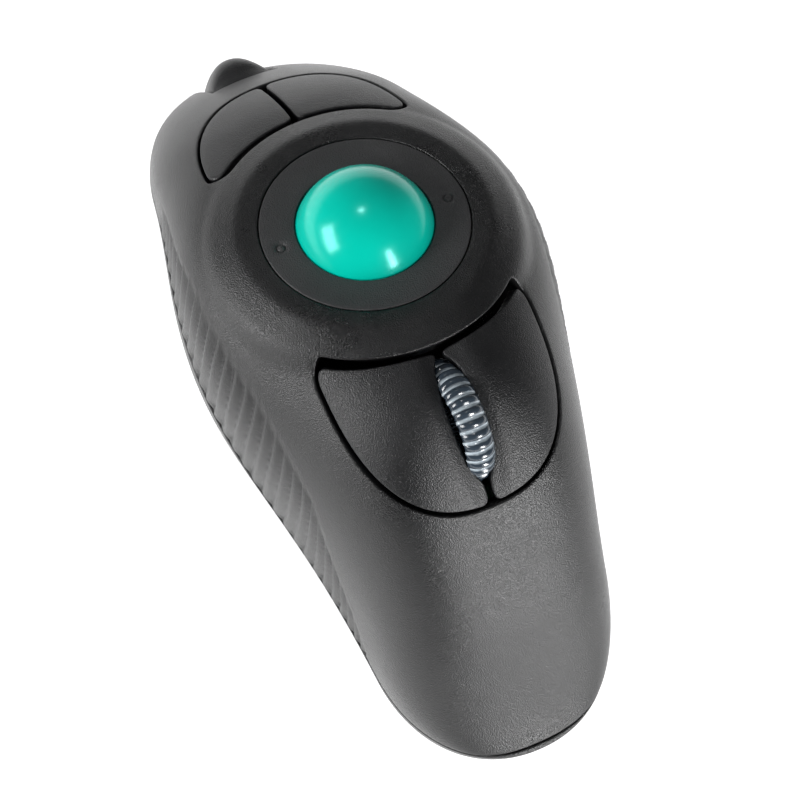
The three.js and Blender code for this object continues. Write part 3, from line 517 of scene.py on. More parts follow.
# ---- materials ----
class Look:
    """A procedural material: the shader and short calls that add nodes to it."""

    def __init__(self, name):
        self.material = bpy.data.materials.new(name)
        self.material.use_nodes = True
        self.nodes = self.material.node_tree.nodes
        self.links = self.material.node_tree.links
        self.shader = self.nodes["Principled BSDF"]
        self.place = self.nodes.new("ShaderNodeTexCoord").outputs["Object"]

    def set(self, **values):
        for key, value in values.items():
            self.shader.inputs[key.replace("_", " ")].default_value = value

    def noise(self, scale, detail=2.0, roughness=0.5):
        node = self.nodes.new("ShaderNodeTexNoise")
        node.inputs["Scale"].default_value = scale
        node.inputs["Detail"].default_value = detail
        node.inputs["Roughness"].default_value = roughness
        self.links.new(self.place, node.inputs["Vector"])
        return node.outputs["Fac"]

    def cells(self, scale, feature="F1"):
        node = self.nodes.new("ShaderNodeTexVoronoi")
        node.feature = feature
        node.inputs["Scale"].default_value = scale
        self.links.new(self.place, node.inputs["Vector"])
        return node.outputs["Distance"]

    def between(self, value, low, high, start=0.3, end=0.7):
        node = self.nodes.new("ShaderNodeMapRange")
        node.inputs["From Min"].default_value = start
        node.inputs["From Max"].default_value = end
        node.inputs["To Min"].default_value = low
        node.inputs["To Max"].default_value = high
        self.links.new(value, node.inputs["Value"])
        return node.outputs["Result"]

    def ramp(self, value, first, second, start=0.3, end=0.7):
        node = self.nodes.new("ShaderNodeValToRGB")
        node.color_ramp.elements[0].position = start
        node.color_ramp.elements[1].position = end
        node.color_ramp.elements[0].color = (*first, 1)
        node.color_ramp.elements[1].color = (*second, 1)
        self.links.new(value, node.inputs["Fac"])
        return node.outputs["Color"]

    def add(self, first, second, share):
        """first + second * share."""
        node = self.nodes.new("ShaderNodeMath")
        node.operation = "MULTIPLY_ADD"
        self.links.new(second, node.inputs[0])
        node.inputs[1].default_value = share
        self.links.new(first, node.inputs[2])
        return node.outputs["Value"]

    def math(self, operation, first, second=None):
        node = self.nodes.new("ShaderNodeMath")
        node.operation = operation
        self.links.new(first, node.inputs[0])
        if isinstance(second, (int, float)):
            node.inputs[1].default_value = second
        elif second is not None:
            self.links.new(second, node.inputs[1])
        return node.outputs["Value"]

    def bump(self, height, distance, strength=1.0, below=None):
        node = self.nodes.new("ShaderNodeBump")
        node.inputs["Strength"].default_value = strength
        node.inputs["Distance"].default_value = distance
        self.links.new(height, node.inputs["Height"])
        if below is not None:
            self.links.new(below, node.inputs["Normal"])
        return node.outputs["Normal"]

    def feed(self, socket, value):
        self.links.new(value, self.shader.inputs[socket])


def moulded(name, dark, light, rough, grain, depth, strength=0.5, waviness=0.1):
    """Moulded plastic with a spark-eroded grain, patchy sheen and a trace of handling."""
    look = Look(name)
    patches = look.noise(60, 4)
    fine = look.noise(grain, 2.5, 0.6)
    pits = look.cells(grain * 1.1)
    look.feed("Base Color", look.ramp(look.add(patches, fine, 0.3), dark, light, 0.45, 0.85))
    look.feed("Roughness", look.between(look.add(patches, fine, 0.25), *rough, 0.45, 0.8))
    relief = look.add(fine, pits, 0.7)
    waves = look.bump(look.noise(220, 3), depth, waviness)
    look.feed("Normal", look.bump(relief, depth, strength, waves))
    look.set(IOR=1.5, Specular_IOR_Level=0.5)
    return look.material


def ball_resin():
    """Polished opaque resin with a faint cloudiness."""
    look = Look("ball_resin")
    cloud = look.noise(45, 3)
    look.feed("Base Color", look.ramp(cloud, (0.0, 0.45, 0.34), (0.0, 0.56, 0.43)))
    look.feed("Roughness", look.between(look.noise(900, 3), 0.16, 0.24))
    look.feed("Normal", look.bump(look.noise(500, 2), 0.000004, 0.3))
    look.set(IOR=1.5, Specular_Tint=(0.3, 1.0, 0.97, 1.0))
    look.set(Coat_Weight=0.15, Coat_Roughness=0.2)
    return look.material


def clear_resin():
    """Smoky clear resin, with painted highlights: its colour turns light along the tread's grooves."""
    look = Look("clear_resin")
    turned = look.nodes.new("ShaderNodeVectorRotate")
    turned.rotation_type = "X_AXIS"
    turned.inputs["Center"].default_value = WHEEL_CENTRE * MM
    turned.inputs["Angle"].default_value = -WHEEL_TILT
    look.links.new(look.place, turned.inputs["Vector"])
    axes = look.nodes.new("ShaderNodeSeparateXYZ")
    look.links.new(turned.outputs["Vector"], axes.inputs["Vector"])
    y = look.math("SUBTRACT", axes.outputs["Y"], WHEEL_CENTRE[1] * MM)
    z = look.math("SUBTRACT", axes.outputs["Z"], WHEEL_CENTRE[2] * MM)
    turn = look.math("ARCTAN2", z, y)
    groove = look.math("COSINE", look.math("MULTIPLY", turn, WHEEL_RIBS))
    streak = look.noise(900, 4, 0.7)
    # painted highlight: the base colour is lightened along the grooves and the streaks
    painted_groove_highlight = look.between(look.add(groove, streak, 0.9), 0, 1, 0.75, 1.5)
    smoke, painted_highlight_colour = (0.035, 0.05, 0.068), (0.62, 0.7, 0.76)
    look.feed("Base Color", look.ramp(painted_groove_highlight, smoke, painted_highlight_colour, 0.05, 0.95))
    look.feed("Roughness", look.between(look.noise(800, 3), 0.12, 0.24))
    look.feed("Normal", look.bump(streak, 0.00006, 0.6))
    look.set(IOR=1.5, Transmission_Weight=0.25, Coat_Weight=0.3, Coat_Roughness=0.12)
    return look.material


def metal():
    """Plated steel, brushed."""
    look = Look("plated_steel")
    brushed = look.noise(1800, 3)
    dull, bright = (0.46, 0.46, 0.47), (0.62, 0.62, 0.63)
    look.feed("Base Color", look.ramp(look.noise(120, 4), dull, bright))
    look.feed("Roughness", look.between(brushed, 0.2, 0.38))
    look.feed("Normal", look.bump(brushed, 0.00001, 0.4))
    look.set(Metallic=1.0)
    return look.material


def solder_mask():
    """Green board lacquer over a web of tracks."""
    look = Look("solder_mask")
    traces = look.cells(420, "DISTANCE_TO_EDGE")
    track, ground = (0.008, 0.045, 0.02), (0.003, 0.018, 0.008)
    look.feed("Base Color", look.ramp(traces, track, ground, 0.02, 0.08))
    look.feed("Roughness", look.between(look.noise(700, 3), 0.25, 0.45))
    look.feed("Normal", look.bump(traces, 0.00003, 0.5))
    return look.material


def sleeve():
    """The batteries' shrunk sleeve."""
    look = Look("battery_sleeve")
    look.feed("Base Color", look.ramp(look.noise(90, 3), (0.03, 0.06, 0.14), (0.05, 0.09, 0.2)))
    look.feed("Roughness", look.between(look.noise(500, 3), 0.22, 0.36))
    look.feed("Normal", look.bump(look.noise(300, 2), 0.00004, 0.3))
    look.set(Coat_Weight=0.5, Coat_Roughness=0.15)
    return look.material


def grey(value, blue):
    return value, value, blue


LOOKS = {
    "shell": moulded(
        "shell_plastic", grey(0.004, 0.0043), grey(0.008, 0.0083), (0.26, 0.35), 3900, 0.0001, 0.85
    ),
    "key": moulded(
        "key_plastic", grey(0.0035, 0.004), grey(0.007, 0.0078), (0.3, 0.39), 3900, 0.0001, 0.85
    ),
    "ring": moulded(
        "ring_plastic", grey(0.026, 0.027), grey(0.038, 0.039), (0.42, 0.56), 3600, 0.0001, 0.9
    ),
    "inner_moulding": moulded(
        "inner_plastic", grey(0.012, 0.013), grey(0.022, 0.024), (0.45, 0.6), 1800, 0.00005
    ),
    "chip": moulded(
        "epoxy_compound", grey(0.01, 0.011), grey(0.02, 0.022), (0.5, 0.65), 3200, 0.00003
    ),
    "foot": moulded(
        "pad_rubber", grey(0.01, 0.01), grey(0.02, 0.02), (0.75, 0.9), 1600, 0.00008
    ),
    "ball": ball_resin(),
    "clear_plastic": clear_resin(),
    "steel": metal(),
    "circuit_board": solder_mask(),
    "battery_jacket": sleeve(),
}


# ---- where the two shells meet ----
def parting_angle(y, offset):
    """The section angle at which the surface is at the parting height plus offset."""
    _, up, down, waist = section(y)
    rise = along(PARTING, y) + offset - waist
    above = np.clip(rise / np.maximum(up, 1e-6), 0, 1) ** (along(ROUNDNESS, y) / 2)
    beneath = np.clip(-rise / np.maximum(down, 1e-6), 0, 1) ** (BELLY_ROUNDNESS / 2)
    return np.where(rise > 0, np.arcsin(above), -np.arcsin(beneath))


def steepness(angle, y):
    """How far the surface stands from level: 0 on a flat top, 1 on an upright side."""
    step = 0.01
    across = body_point(angle + step, y) - body_point(angle - step, y)
    near = np.clip(y + step, TAIL_END, NOSE_END)
    far = np.clip(y - step, TAIL_END, NOSE_END)
    normal = np.cross(across, body_point(angle, near) - body_point(angle, far))
    length = np.linalg.norm(normal, axis=1)
    level = np.abs(normal[:, 2]) / np.maximum(length, 1e-12)
    return np.where(length > 1e-9, np.sqrt(np.clip(1 - level**2, 0.03, 1)), 1)


def parting_outline(offset, mirror):
    """The shell's edge on the chart; mirror is the angle that stands opposite angle zero."""
    turn = np.linspace(0, math.pi, TRACE_STEPS * 2)
    y = MIDDLE_Y - HALF_LENGTH * np.cos(turn)
    angle = parting_angle(y, offset * steepness(parting_angle(y, 0), y))
    closed = math.pi / 2 if mirror > 0 else -math.pi / 2
    open_part = np.abs(angle - closed) > 1e-6
    first, last = np.nonzero(open_part)[0][[0, -1]]
    chosen = slice(max(first - 1, 0), min(last + 2, len(y)))
    right = to_chart(angle[chosen], y[chosen])
    left = to_chart(mirror - angle[chosen], y[chosen])
    right = resampled(right, GRID * 0.7, closed=False)
    left = np.column_stack([mirror * AROUND - right[:, 0], right[:, 1]])
    outline = [*right, *left[::-1]]
    kept = [outline[0]]
    for point in outline[1:]:
        if np.linalg.norm(point - kept[-1]) > 1e-6:
            kept.append(point)
    if np.linalg.norm(kept[0] - kept[-1]) > 1e-6 and abs(kept[0][1] - kept[-1][1]) < 1e-6:
        span = np.linalg.norm(kept[0] - kept[-1])
        steps = max(int(span / GRID), 1)
        kept += [outline[-1] + (outline[0] - outline[-1]) * i / steps for i in range(1, steps)]
    return np.array(kept)


# ---- outlines of the openings and keys ----
def circle(centre, radius, count):
    turns = np.linspace(0, 2 * math.pi, count, endpoint=False)
    x, y = centre
    return np.column_stack([x + radius * np.cos(turns), y + radius * np.sin(turns)])


def front_outline(side, split, grow, inner):
    """In the ring's plane: the arc round the ring, then the key's outer edge back to the middle."""
    heel_y = math.sqrt(FRONT_INNER**2 - FRONT_HEEL_X**2) - grow
    inner_angles = np.linspace(math.asin(split / inner), math.acos(min(heel_y / inner, 1)), 40)
    points = [(side * inner * math.sin(a), inner * math.cos(a)) for a in inner_angles]
    across, forward = FRONT_ARC["across"] + grow, FRONT_ARC["along"] + grow
    start = FRONT_HEEL_ANGLE - grow / FRONT_ARC["across"]
    power = 2 / FRONT_ARC["power"]
    for angle in np.linspace(start, math.acos((split / across) ** (1 / power)), 50):
        y = FRONT_ARC["centre"] + forward * math.sin(angle) ** power
        points.append((side * across * math.cos(angle) ** power, y))
    return points


def rear_outline(side, split, grow, inner):
    """In the ring's plane: the round front edge, then the U from the plan dropped on the body."""
    across = REAR_CURVE["across"] + grow
    power = REAR_CURVE["power"]
    end = math.acos((split / across) ** (power / 2))
    angles = np.linspace(REAR_CURVE_START, end, 110)
    reach = np.where(angles > 0, REAR_CURVE["along"] + grow, -REAR_CURVE["ahead"] - grow)
    x = across * np.cos(angles) ** (2 / power)
    y = REAR_CURVE["centre"] - reach * np.abs(np.sin(angles)) ** (2 / power)
    world = np.column_stack([x, y, top_height(x, y)])
    curve = to_ring(world)[:, :2]
    curve = curve[np.hypot(curve[:, 0], curve[:, 1]) > inner]
    front_x = np.linspace(split, curve[0, 0], 40)[:-1]
    front = [(side * fx, -math.sqrt(inner**2 - fx**2)) for fx in front_x]
    return front + [(side * cx, cy) for cx, cy in curve]


def window(half):
    """A closed outline from its right half, which runs from the middle line back to it."""
    mirrored = [(-x, y) for x, y in reversed(half)]
    return list(half) + mirrored


def slot_outline(across, reach):
    """The wheel's slot in the plan, dropped on the body, in the ring's plane."""
    turns = np.linspace(0, 2 * math.pi, 120, endpoint=False)
    c, s = np.cos(turns), np.sin(turns)
    x = across * np.sign(c) * np.abs(c) ** 0.85
    y = SLOT_CENTRE_Y + reach * np.sign(s) * np.abs(s) ** 0.95
    return to_ring(np.column_stack([x, y, top_height(x, y)]))[:, :2]


def ring_to_chart(outline):
    world = drop_on_body(np.asarray(outline, float))
    return to_chart(upper_angle(world[:, 0], world[:, 1]), world[:, 1])


def plan_to_chart(outline):
    x, y = np.asarray(outline, float).T
    return to_chart(lower_angle(x, y), y)


def box_outline(half_x, y1, y2, radius):
    return rounded([(-half_x, y1), (half_x, y1), (half_x, y2), (-half_x, y2)], radius)


def opening_outline(hole, radius):
    """A rounded rectangle EDGE larger than a hole in the underside."""
    half_width = hole["half_width"] + EDGE
    y = hole["y"]
    return box_outline(hole["half_length"] + EDGE, y - half_width, y + half_width, radius)


def pad_outline(x, y, half_width, half_length, grow):
    """A rectangle with round ends, for the feet."""
    reach, radius = half_width - half_length, half_length + grow
    turns = np.linspace(-math.pi / 2, math.pi / 2, 24)
    right = [(x + reach + radius * math.cos(t), y + radius * math.sin(t)) for t in turns]
    left = [(2 * x - px, 2 * y - py) for px, py in right]
    return resampled(right + left, 0.6)


# ---- shells ----
def skin_points(chart):
    return collar_lift(body_point(*from_chart(chart)))


def in_trigger_window(chart):
    points = body_point(*from_chart(chart))
    w = TRIGGER_WINDOW
    return (
        (np.abs(points[:, 0]) < w["half"] + EDGE)
        & (points[:, 1] > w["back"] - EDGE)
        & (points[:, 2] < w["top"] + EDGE)
    )


def window_edge():
    """The trigger opening's edge in the upper shell, on the chart, traced on the surface."""
    w = TRIGGER_WINDOW
    half, top = w["half"] + EDGE, w["top"] + EDGE
    y = np.linspace(w["back"] - EDGE, NOSE_TIP, TRACE_STEPS)
    angle = upper_angle(np.full_like(y, half), y)
    z = body_point(angle, y)[:, 2]
    side = np.column_stack([angle, y])[(z < top) & (section(y)[0] > half)]
    x = np.linspace(-half, half, 60)
    too_narrow = 50 * (section(y)[0] < half)
    edge = []
    for value in x:
        heights = top_height(np.full_like(y, value), y)
        edge.append(y[np.argmin(np.abs(heights - top) + too_narrow)])
    edge = np.array(edge)
    across = to_chart(upper_angle(x, edge), edge)
    right = to_chart(side[:, 0], side[:, 1])
    left = np.column_stack([math.pi * AROUND - right[:, 0], right[:, 1]])
    tip = to_chart(np.array([math.pi / 2]), np.array([NOSE_TIP]))
    return resampled(np.array([*left[::-1], *across, *right, *tip]), 0.5)


def window_edge_below():
    """The same opening's edge in the lower shell: a slot from the back edge round the nose."""
    half, back = TRIGGER_WINDOW["half"] + EDGE, TRIGGER_WINDOW["back"] - EDGE
    y = np.linspace(back, NOSE_TIP, TRACE_STEPS)
    y = y[section(y)[0] > half]
    right = to_chart(lower_angle(np.full_like(y, half), y), y)
    left = np.column_stack([-math.pi * AROUND - right[:, 0], right[:, 1]])
    x = np.linspace(-half, half, 40)[1:-1]
    level = np.full_like(x, back)
    across = to_chart(lower_angle(x, level), level)
    tip = to_chart(np.array([-math.pi / 2]), np.array([NOSE_TIP]))
    return resampled(np.array([*left[::-1], *across, *right, *tip]), 0.5)


def key_window(outline, radius):
    """The opening that a pair of keys stands in."""
    return rounded(window(outline(1, 0, KEY_GAP + EDGE, COLLAR_RADIUS - EDGE)), radius)


def upper_shell():
    offset = PARTING_GAP / 2 + EDGE
    edge = parting_outline(offset, math.pi)
    openings = [
        ring_to_chart(circle((0, 0), RING_RADIUS + RING_GAP + RING_EDGE, 200)),
        ring_to_chart(key_window(front_outline, FRONT_CORNERS["window"])),
        ring_to_chart(key_window(rear_outline, REAR_CORNERS["window"])),
    ]
    notch = window_edge()

    def keep(chart):
        kept = inside(chart, edge)
        for opening in openings:
            kept &= ~inside(chart, opening)
        return kept & ~in_trigger_window(chart)

    def ribbed(chart):
        angle, y = from_chart(chart)
        upright = (y > RIB_BACK) & (y < RIB_FRONT) & (np.abs(np.cos(angle)) > 0.9)
        return upright | (rib_depth(body_point(angle, y)) > 0)

    chart, faces = triangulated([edge, *openings, notch], keep, GRID, (RIB_GRID, ribbed))
    points, faces = merged(skin_points(chart), faces[:, ::-1])
    points = points - vertex_normals(points, faces) * rib_depth(points)[:, None]

    def under_collar(inner):
        """Keeps the inner face below the ring's seat, where the collar is thick."""
        ring = to_ring(inner)
        radius, height = np.hypot(ring[:, 0], ring[:, 1]), ring[:, 2]
        near = (radius < COLLAR_RADIUS + 0.5) & (height > COLLAR_INNER_FOOT)
        ring[:, 2] = np.where(near, np.minimum(height, SEAT_BASE - 0.1), height)
        return from_ring(ring)

    shell = thickened(points, faces, SHELL_WALL, SHELL_THICK, inner_limit=under_collar)
    piece("upper_housing", *shell, "housing", "shell", ["upper_shell"])


def lower_shell():
    offset = -PARTING_GAP / 2 - EDGE
    edge = parting_outline(offset, -math.pi)
    gap = DOOR_GAP + EDGE
    outlines = [
        box_outline(DOOR["half"] + gap, DOOR["back"] - gap, DOOR["front"] + gap, 1.0),
        opening_outline(RECEIVER, 0.8),
        opening_outline(SWITCH_SLOT, 0.6),
    ]
    outlines += [circle(place, SCREW_WELL_RADIUS + EDGE, 40) for place in SHELL_SCREWS]
    outlines += [pad_outline(*foot, EDGE) for foot in FEET.values()]
    openings = [plan_to_chart(outline) for outline in outlines]

    def keep(chart):
        kept = inside(chart, edge)
        for opening in openings:
            kept &= ~inside(chart, opening)
        return kept & ~in_trigger_window(chart)

    chart, faces = triangulated([edge, *openings, window_edge_below()], keep, GRID)
    points, faces = merged(body_point(*from_chart(chart)), faces[:, ::-1])
    shell = thickened(points, faces, SHELL_WALL, SHELL_THICK)
    piece("lower_housing", *shell, "housing", "shell", ["lower_shell"])


# ---- keys ----
def plate(name, outline, place, body, slot, nodes, wall=KEY_THICK, step=0.8, faces_down=False):
    """A plate over a flat outline, set on the surface that place() gives."""
    def keep(flat):
        return inside(flat, outline)

    flat, faces = triangulated([outline], keep, step)
    points = place(flat)
    looks_up = np.mean(vertex_normals(points, faces)[:, 2]) > 0
    if looks_up == faces_down:
        faces = faces[:, ::-1]
    piece(name, *thickened(points, faces, wall, wall), body, slot, nodes)


def on_skin(flat):
    """Points of the ring's plane dropped on the body with its collar."""
    return collar_lift(drop_on_body(flat))


def dished(flat):
    """The rear keys' face, hollowed a little towards the wheel."""
    points = on_skin(flat)
    dx = points[:, 0] / SLOT_ACROSS
    dy = (points[:, 1] - SLOT_CENTRE_Y) / SLOT_ALONG
    reach = np.clip(np.sqrt(dx**2 + dy**2) - 1, 0, None) * SLOT_ACROSS
    points[:, 2] -= DISH_DEPTH * np.exp(-((reach / DISH_WIDTH) ** 2))
    return points


def keys():
    split = KEY_SPLIT + EDGE
    for side, word in ((-1, "left"), (1, "right")):
        name = f"front_{word}"
        outline = front_outline(side, split, -EDGE, FRONT_INNER + EDGE)
        outline = rounded(outline, FRONT_CORNERS["key"])
        plate(f"{name}_key_cap", outline, on_skin, f"{name}_key", "key", [f"{name}_button"])
        name = f"rear_{word}"
        outline = rear_outline(side, split, -EDGE, COLLAR_RADIUS + KEY_COLLAR_GAP + EDGE)
        slot = slot_outline(SLOT_ACROSS + EDGE, SLOT_ALONG + EDGE)
        outline = rounded(key_with_slot(np.array(outline), slot, side), REAR_CORNERS["key"])
        plate(f"{name}_key_cap", outline, dished, f"{name}_key", "key", [f"{name}_button"],
              step=0.7)


def key_with_slot(outline, slot, side):
    """The key's outline with the wheel's half of the slot taken out of its inner edge."""
    outside = outline[~inside(outline, slot)]
    x = side * slot[:, 0]
    flank = slot[x > KEY_SPLIT + EDGE]
    flank = flank[np.argsort(flank[:, 1])]
    return np.vstack([outside, flank])


# ---- ring, ball, wheel ----
def dimple_centres():
    for angle in np.radians(DIMPLE_ANGLES):
        yield DIMPLE_OFFSET * np.array([math.cos(angle), math.sin(angle)])


def ring_place(flat):
    """The ring's top face, with a round groove for each finger dimple."""
    depth = np.zeros(len(flat))
    for centre in dimple_centres():
        off_line = np.abs(np.linalg.norm(flat - centre, axis=1) - DIMPLE_RADIUS)
        depth += DIMPLE_DEPTH * np.clip(1 - off_line / DIMPLE_HALF_WIDTH, 0, 1)
    return from_ring(np.column_stack([flat, -depth]))


def retaining_ring():
    loops = [
        circle((0, 0), RING_RADIUS - RING_EDGE, 240),
        circle((0, 0), RING_BORE + RING_BORE_ROLL, 180),
    ]
    marks = []
    for centre in dimple_centres():
        marks += [circle(centre, radius, 28) for radius in (0.5, 0.65, 0.8, 0.95, 1.1)]

    def keep(flat):
        return inside(flat, loops[0]) & ~inside(flat, loops[1])

    flat, faces = triangulated([*loops, *marks], keep, 1.0)
    solid = thickened(ring_place(flat), faces, RING_THICK, RING_THICK, edge=RING_EDGE)
    piece("bayonet_ring", *solid, "ring", "ring", ["retaining_ring"])


def ring_seat():
    """The ledge under the ring, which closes the gap round it."""
    profile = [(16.2, -2.35), (18.7, -2.35), (19.2, -2.5)]
    profile += [(19.2, SEAT_BASE), (16.4, SEAT_BASE), (16.2, SEAT_BASE + 0.2)]
    points, faces = lathe(profile, 120)
    piece("ring_seat", tilted(points, RING_CENTRE, RING_TILT), faces[::-1], "housing", "shell")


def ball():
    sides, rows = 160, 80
    profile = arc((0, 0), BALL_RADIUS, 90, -90, rows)
    profile[0] = (0, BALL_RADIUS)
    profile[-1] = (0, -BALL_RADIUS)
    points, faces = lathe(profile, sides)
    centre = from_ring(np.array([[0, 0, -BALL_DEPTH]]))[0]
    piece("thumb_ball", points + centre, faces, "ball", "ball", ["trackball"])


WHEEL_HUB = [(2.45, 9.0), (2.2, 8.6), (1.5, 8.2), (1.4, 4.0), (2.3, 3.2), (2.4, 2.9), (2.4, 1.3)]
WHEEL_STEPS = 12  # points round one rib
WHEEL_CROWN, WHEEL_GROOVE = 1.5, 0.75


def wheel():
    """The tread's ribs swell between V grooves, and its edges fall away like a barrel's."""
    sides = WHEEL_RIBS * WHEEL_STEPS
    turns = 2 * math.pi * np.arange(sides) / sides
    step = (np.arange(sides) % WHEEL_STEPS) / WHEEL_STEPS - 0.5
    groove = WHEEL_GROOVE * (2 * step) ** 2
    rows = []
    for share in np.linspace(-1, 1, 17):
        crowned = WHEEL_RADIUS - WHEEL_CROWN * abs(share) ** 2.6
        rows.append((share * WHEEL_HALF_WIDTH, crowned - groove * (1 - 0.35 * abs(share) ** 4)))
    hub = WHEEL_HUB + [(-x, radius) for x, radius in reversed(WHEEL_HUB)]
    rows += [(x, np.full(sides, radius)) for x, radius in hub]
    points, faces = [], []
    for x, radius in rows:
        points += [(x, r * math.cos(t), r * math.sin(t)) for r, t in zip(radius, turns)]
    for i in range(len(rows)):
        k = (i + 1) % len(rows)
        for j in range(sides):
            n = (j + 1) % sides
            faces.append((i * sides + j, k * sides + j, k * sides + n, i * sides + n))
    points = tilted(points, WHEEL_CENTRE, WHEEL_TILT)
    piece("ribbed_wheel", points, [f[::-1] for f in faces], "wheel", "clear_plastic", ["scroll_wheel"])


# ---- trigger ----
TRIGGER_START = (61.0, 22.7)
TRIGGER_FRONT = [
    ((64, 21.9), (66.4, 20.8)), ((69.8, 20.2), (70.7, 16.4)),
    ((72.1, 10), (71.2, 6.6)), ((70.5, 3.6), (68.2, 3.5)),
]
TRIGGER_BACK = [(65.6, 4.4), (66.4, 13)]
TRIGGER_ARM = ((66.2, 17.4), (61, 18.8))
TRIGGER_ROOT = 62  # y where the finger face begins
TRIGGER_DROP = 0.9  # how far the cheeks sink
TRIGGER_CHEEK = 0.45  # the cheeks' depth as a share of the middle's
TRIGGER_END, TRIGGER_END_ROLL = 0.82, 0.08


def quadratic(start, control, end, steps=10):
    """Points of a parabola after its start."""
    t = np.linspace(0, 1, steps + 1)[1:, None]
    start, control, end = map(np.array, (start, control, end))
    return list((1 - t) ** 2 * start + 2 * t * (1 - t) * control + t**2 * end)


def trigger():
    """Slices of one side view, hollowed and narrowed towards both cheeks."""
    side = [np.array(TRIGGER_START)]
    for control, end in TRIGGER_FRONT:
        side += quadratic(side[-1], control, end)
    side += [np.array(point) for point in TRIGGER_BACK]
    side += quadratic(side[-1], *TRIGGER_ARM)
    side += [np.array(point) for point in arc(TRIGGER_PIN, TRIGGER_EYE_RADIUS, -45, -306, 23)]
    profile = rounded(side, 0.6, 0.45)
    rows = []
    for share in np.sin(np.linspace(-math.pi / 2, math.pi / 2, 41)):
        pull = 1 - abs(share) ** 2.2
        row = profile.copy()
        ahead = row[:, 0] - TRIGGER_ROOT
        depth = TRIGGER_CHEEK + (1 - TRIGGER_CHEEK) * pull
        row[ahead > 0, 0] = TRIGGER_ROOT + ahead[ahead > 0] * depth
        sunk = np.clip(row[:, 0] - TRIGGER_ROOT, 0, 4) / 4
        row[:, 1] -= sunk * TRIGGER_DROP * (1 - pull)
        squeeze = min((1 - abs(share)) / TRIGGER_END_ROLL, 1) ** 0.5
        centre = row.mean(0)
        row = centre + (row - centre) * (TRIGGER_END + (1 - TRIGGER_END) * squeeze)
        rows.append(np.column_stack([np.full(len(row), share * TRIGGER_HALF_WIDTH), row]))
    size = len(profile)
    points = np.vstack(rows)
    faces = []
    for i in range(len(rows) - 1):
        for j in range(size):
            n = (j + 1) % size
            faces.append((i * size + j, i * size + n, (i + 1) * size + n, (i + 1) * size + j))
    faces.append(tuple(range(size))[::-1])
    faces.append(tuple(range((len(rows) - 1) * size, len(rows) * size)))
    piece("trigger_blade", points, faces, "trigger", "key", ["trigger"])


# ---- underside ----
def under_place(flat):
    return np.column_stack([flat, bottom_height(flat[:, 0], flat[:, 1])])


def door_place(flat):
    """The underside's surface with the door's finger grip pressed into it."""
    points = under_place(flat)
    across = flat[:, 0] / DOOR_GRIP["across"]
    reach = (flat[:, 1] - DOOR_GRIP["y"]) / DOOR_GRIP["along"]
    grip = np.clip(1 - (across**2 + reach**2), 0, 1)
    points[:, 2] += DOOR_GRIP["depth"] * np.sqrt(grip)
    return points


def battery_door():
    outline = box_outline(DOOR["half"] - EDGE, DOOR["back"] + EDGE, DOOR["front"] - EDGE, 0.8)
    plate("battery_cover", outline, door_place, "door", "shell", ["battery_door"], DOOR_THICK,
          faces_down=True)


def floor_place(flat):
    return np.column_stack([flat, np.zeros(len(flat))])


def feet():
    for name, foot in FEET.items():
        outline = pad_outline(*foot, -FOOT_GAP - EDGE)
        plate(f"{name}_pad", outline, floor_place, "housing", "foot", [name], FOOT_THICK, step=0.7,
              faces_down=True)


def batteries():
    end, edge = CELL_LENGTH / 2, CELL_RADIUS - 0.4
    profile = [(0, -end), (4.6, -end), *arc((edge, -end + 0.4), 0.4, -90, 0)]
    profile += [*arc((edge, end - 1.4), 0.4, 0, 90), (2.2, end - 1.0)]
    profile += [(1.9, end - 0.95), (1.9, end - 0.15), (1.75, end), (0, end)]
    points, faces = lathe(profile, 72)
    x, y, z = points.T
    for name, side in (("battery_left", -1), ("battery_right", 1)):
        laid = np.column_stack([x + side * CELL_SPACING, z * -side, y * side])
        placed = tilted(laid, BAY_CENTRE, BAY_TILT)
        piece(f"{name}_cell", placed, [f[::-1] for f in faces], "housing", "battery_jacket", [name])


def battery_bay():
    """The tray round the two cells: a floor-less box moulded in the lower shell."""
    half_x, half_y, roof, floor, wall = 11.4, 25.3, 5.9, -3.5, 1.2
    points, faces = [], []
    for grow, top in ((0, roof), (wall, roof + wall)):
        x, y = half_x + grow, half_y + grow
        for z in (floor, top):
            points += [(-x, -y, z), (x, -y, z), (x, y, z), (-x, y, z)]
    for i in range(4):
        j = (i + 1) % 4
        faces += [(i + 4, j + 4, j, i), (8 + i, 8 + j, 12 + j, 12 + i), (i, j, 8 + j, 8 + i)]
    faces += [(7, 6, 5, 4), (12, 13, 14, 15)]
    made = piece("battery_tray", tilted(points, BAY_CENTRE, BAY_TILT), faces, "housing", "shell")
    made.data.shade_flat()
    bevel = made.modifiers.new("soft_edges", "BEVEL")
    bevel.width = 0.3 * MM
    bevel.segments = 2


# ---- inner parts keep their CAD shape and take a finish ----
def inner_finishes():
    for row in frame["record"]["subparts"]:
        node = frame["nodes"].get(row["node"])
        if node is None:
            continue
        look = LOOKS[row["material_slot"]]
        if node.material_slots:
            for material_slot in node.material_slots:
                material_slot.material = look
        else:
            node.data.materials.append(look)


# ---- stage ----
VIEW_TURN, VIEW_RISE = math.radians(26.5), math.radians(56.9)  # seen from the ring's frame
VIEW_DISTANCE = 521.8
VIEW_RIGHT, VIEW_DOWN = 6.1, 30.85  # how far the view's middle is from the ring's centre
FLOOR_SIZE = 3.0


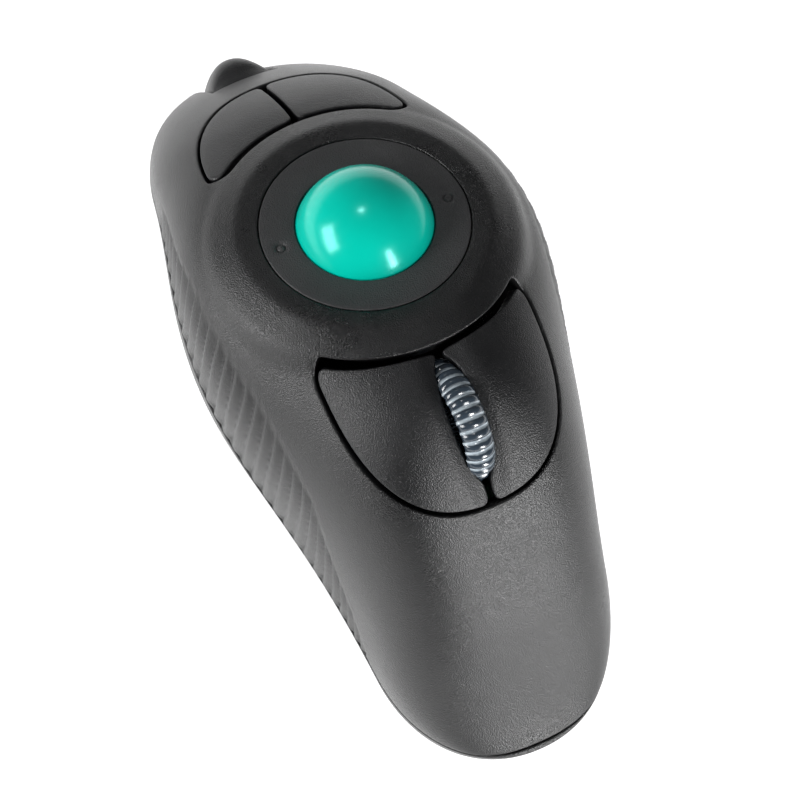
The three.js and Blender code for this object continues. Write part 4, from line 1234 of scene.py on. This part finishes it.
def camera():
    lean = Matrix.Rotation(RING_TILT, 3, "X")
    level = math.cos(VIEW_RISE)
    back = Vector((-math.sin(VIEW_TURN) * level, -math.cos(VIEW_TURN) * level, math.sin(VIEW_RISE)))
    back = lean @ back
    right = lean @ Vector((math.cos(VIEW_TURN), -math.sin(VIEW_TURN), 0))
    up = back.cross(right)
    place = Vector(RING_CENTRE) + right * VIEW_RIGHT - up * VIEW_DOWN + back * VIEW_DISTANCE
    data = bpy.data.cameras.new("camera")
    data.lens = 135
    data.sensor_width = 36
    data.clip_start = 0.01
    made = bpy.data.objects.new("camera", data)
    bpy.context.scene.collection.objects.link(made)
    matrix = Matrix((right, up, back)).transposed().to_4x4()
    matrix.translation = place * MM
    made.matrix_world = matrix
    bpy.context.scene.camera = made


def softbox(name, place, aim, size, power):
    data = bpy.data.lights.new(name, "AREA")
    data.shape = "RECTANGLE"
    data.size, data.size_y = size
    data.energy = power
    made = bpy.data.objects.new(name, data)
    bpy.context.scene.collection.objects.link(made)
    made.location = place
    made.rotation_euler = (Vector(aim) - Vector(place)).to_track_quat("-Z", "Y").to_euler()


def stage():
    look = Look("floor_paper")
    look.feed("Base Color", look.ramp(look.noise(4, 2), (0.86, 0.86, 0.86), (0.9, 0.9, 0.9)))
    look.feed("Roughness", look.between(look.noise(300, 2), 0.8, 0.95))
    look.set(Emission_Color=(1, 1, 1, 1), Emission_Strength=0.68)
    corners = [(x * FLOOR_SIZE, y * FLOOR_SIZE, 0) for x, y in ((-1, -1), (1, -1), (1, 1), (-1, 1))]
    mesh = bpy.data.meshes.new("floor")
    mesh.from_pydata(corners, [], [(0, 1, 2, 3)])
    floor = bpy.data.objects.new("floor", mesh)
    floor.location.z = -0.0002
    mesh.materials.append(look.material)
    bpy.context.scene.collection.objects.link(floor)
    world = bpy.data.worlds.new("studio")
    world.use_nodes = True
    background = world.node_tree.nodes["Background"]
    background.inputs["Color"].default_value = (0.95, 0.97, 1.0, 1)
    background.inputs["Strength"].default_value = 0.12
    bpy.context.scene.world = world
    aim = (0, 0, 0.04)
    softbox("left_box", (-0.57, 0.14, 0.28), aim, (0.4, 0.22), 4)
    softbox("tail_box", (0.18, -0.64, 0.34), (0, 0, 0.3), (0.11, 0.62), 7)
    softbox("top_spot", (-0.02, 0.32, 0.62), aim, (0.07, 0.05), 0.5)


camera()
stage()
inner_finishes()
upper_shell()
lower_shell()
keys()
retaining_ring()
ring_seat()
ball()
wheel()
trigger()
battery_door()
feet()
batteries()
battery_bay()

bpy.context.scene.view_settings.view_transform = "Standard"
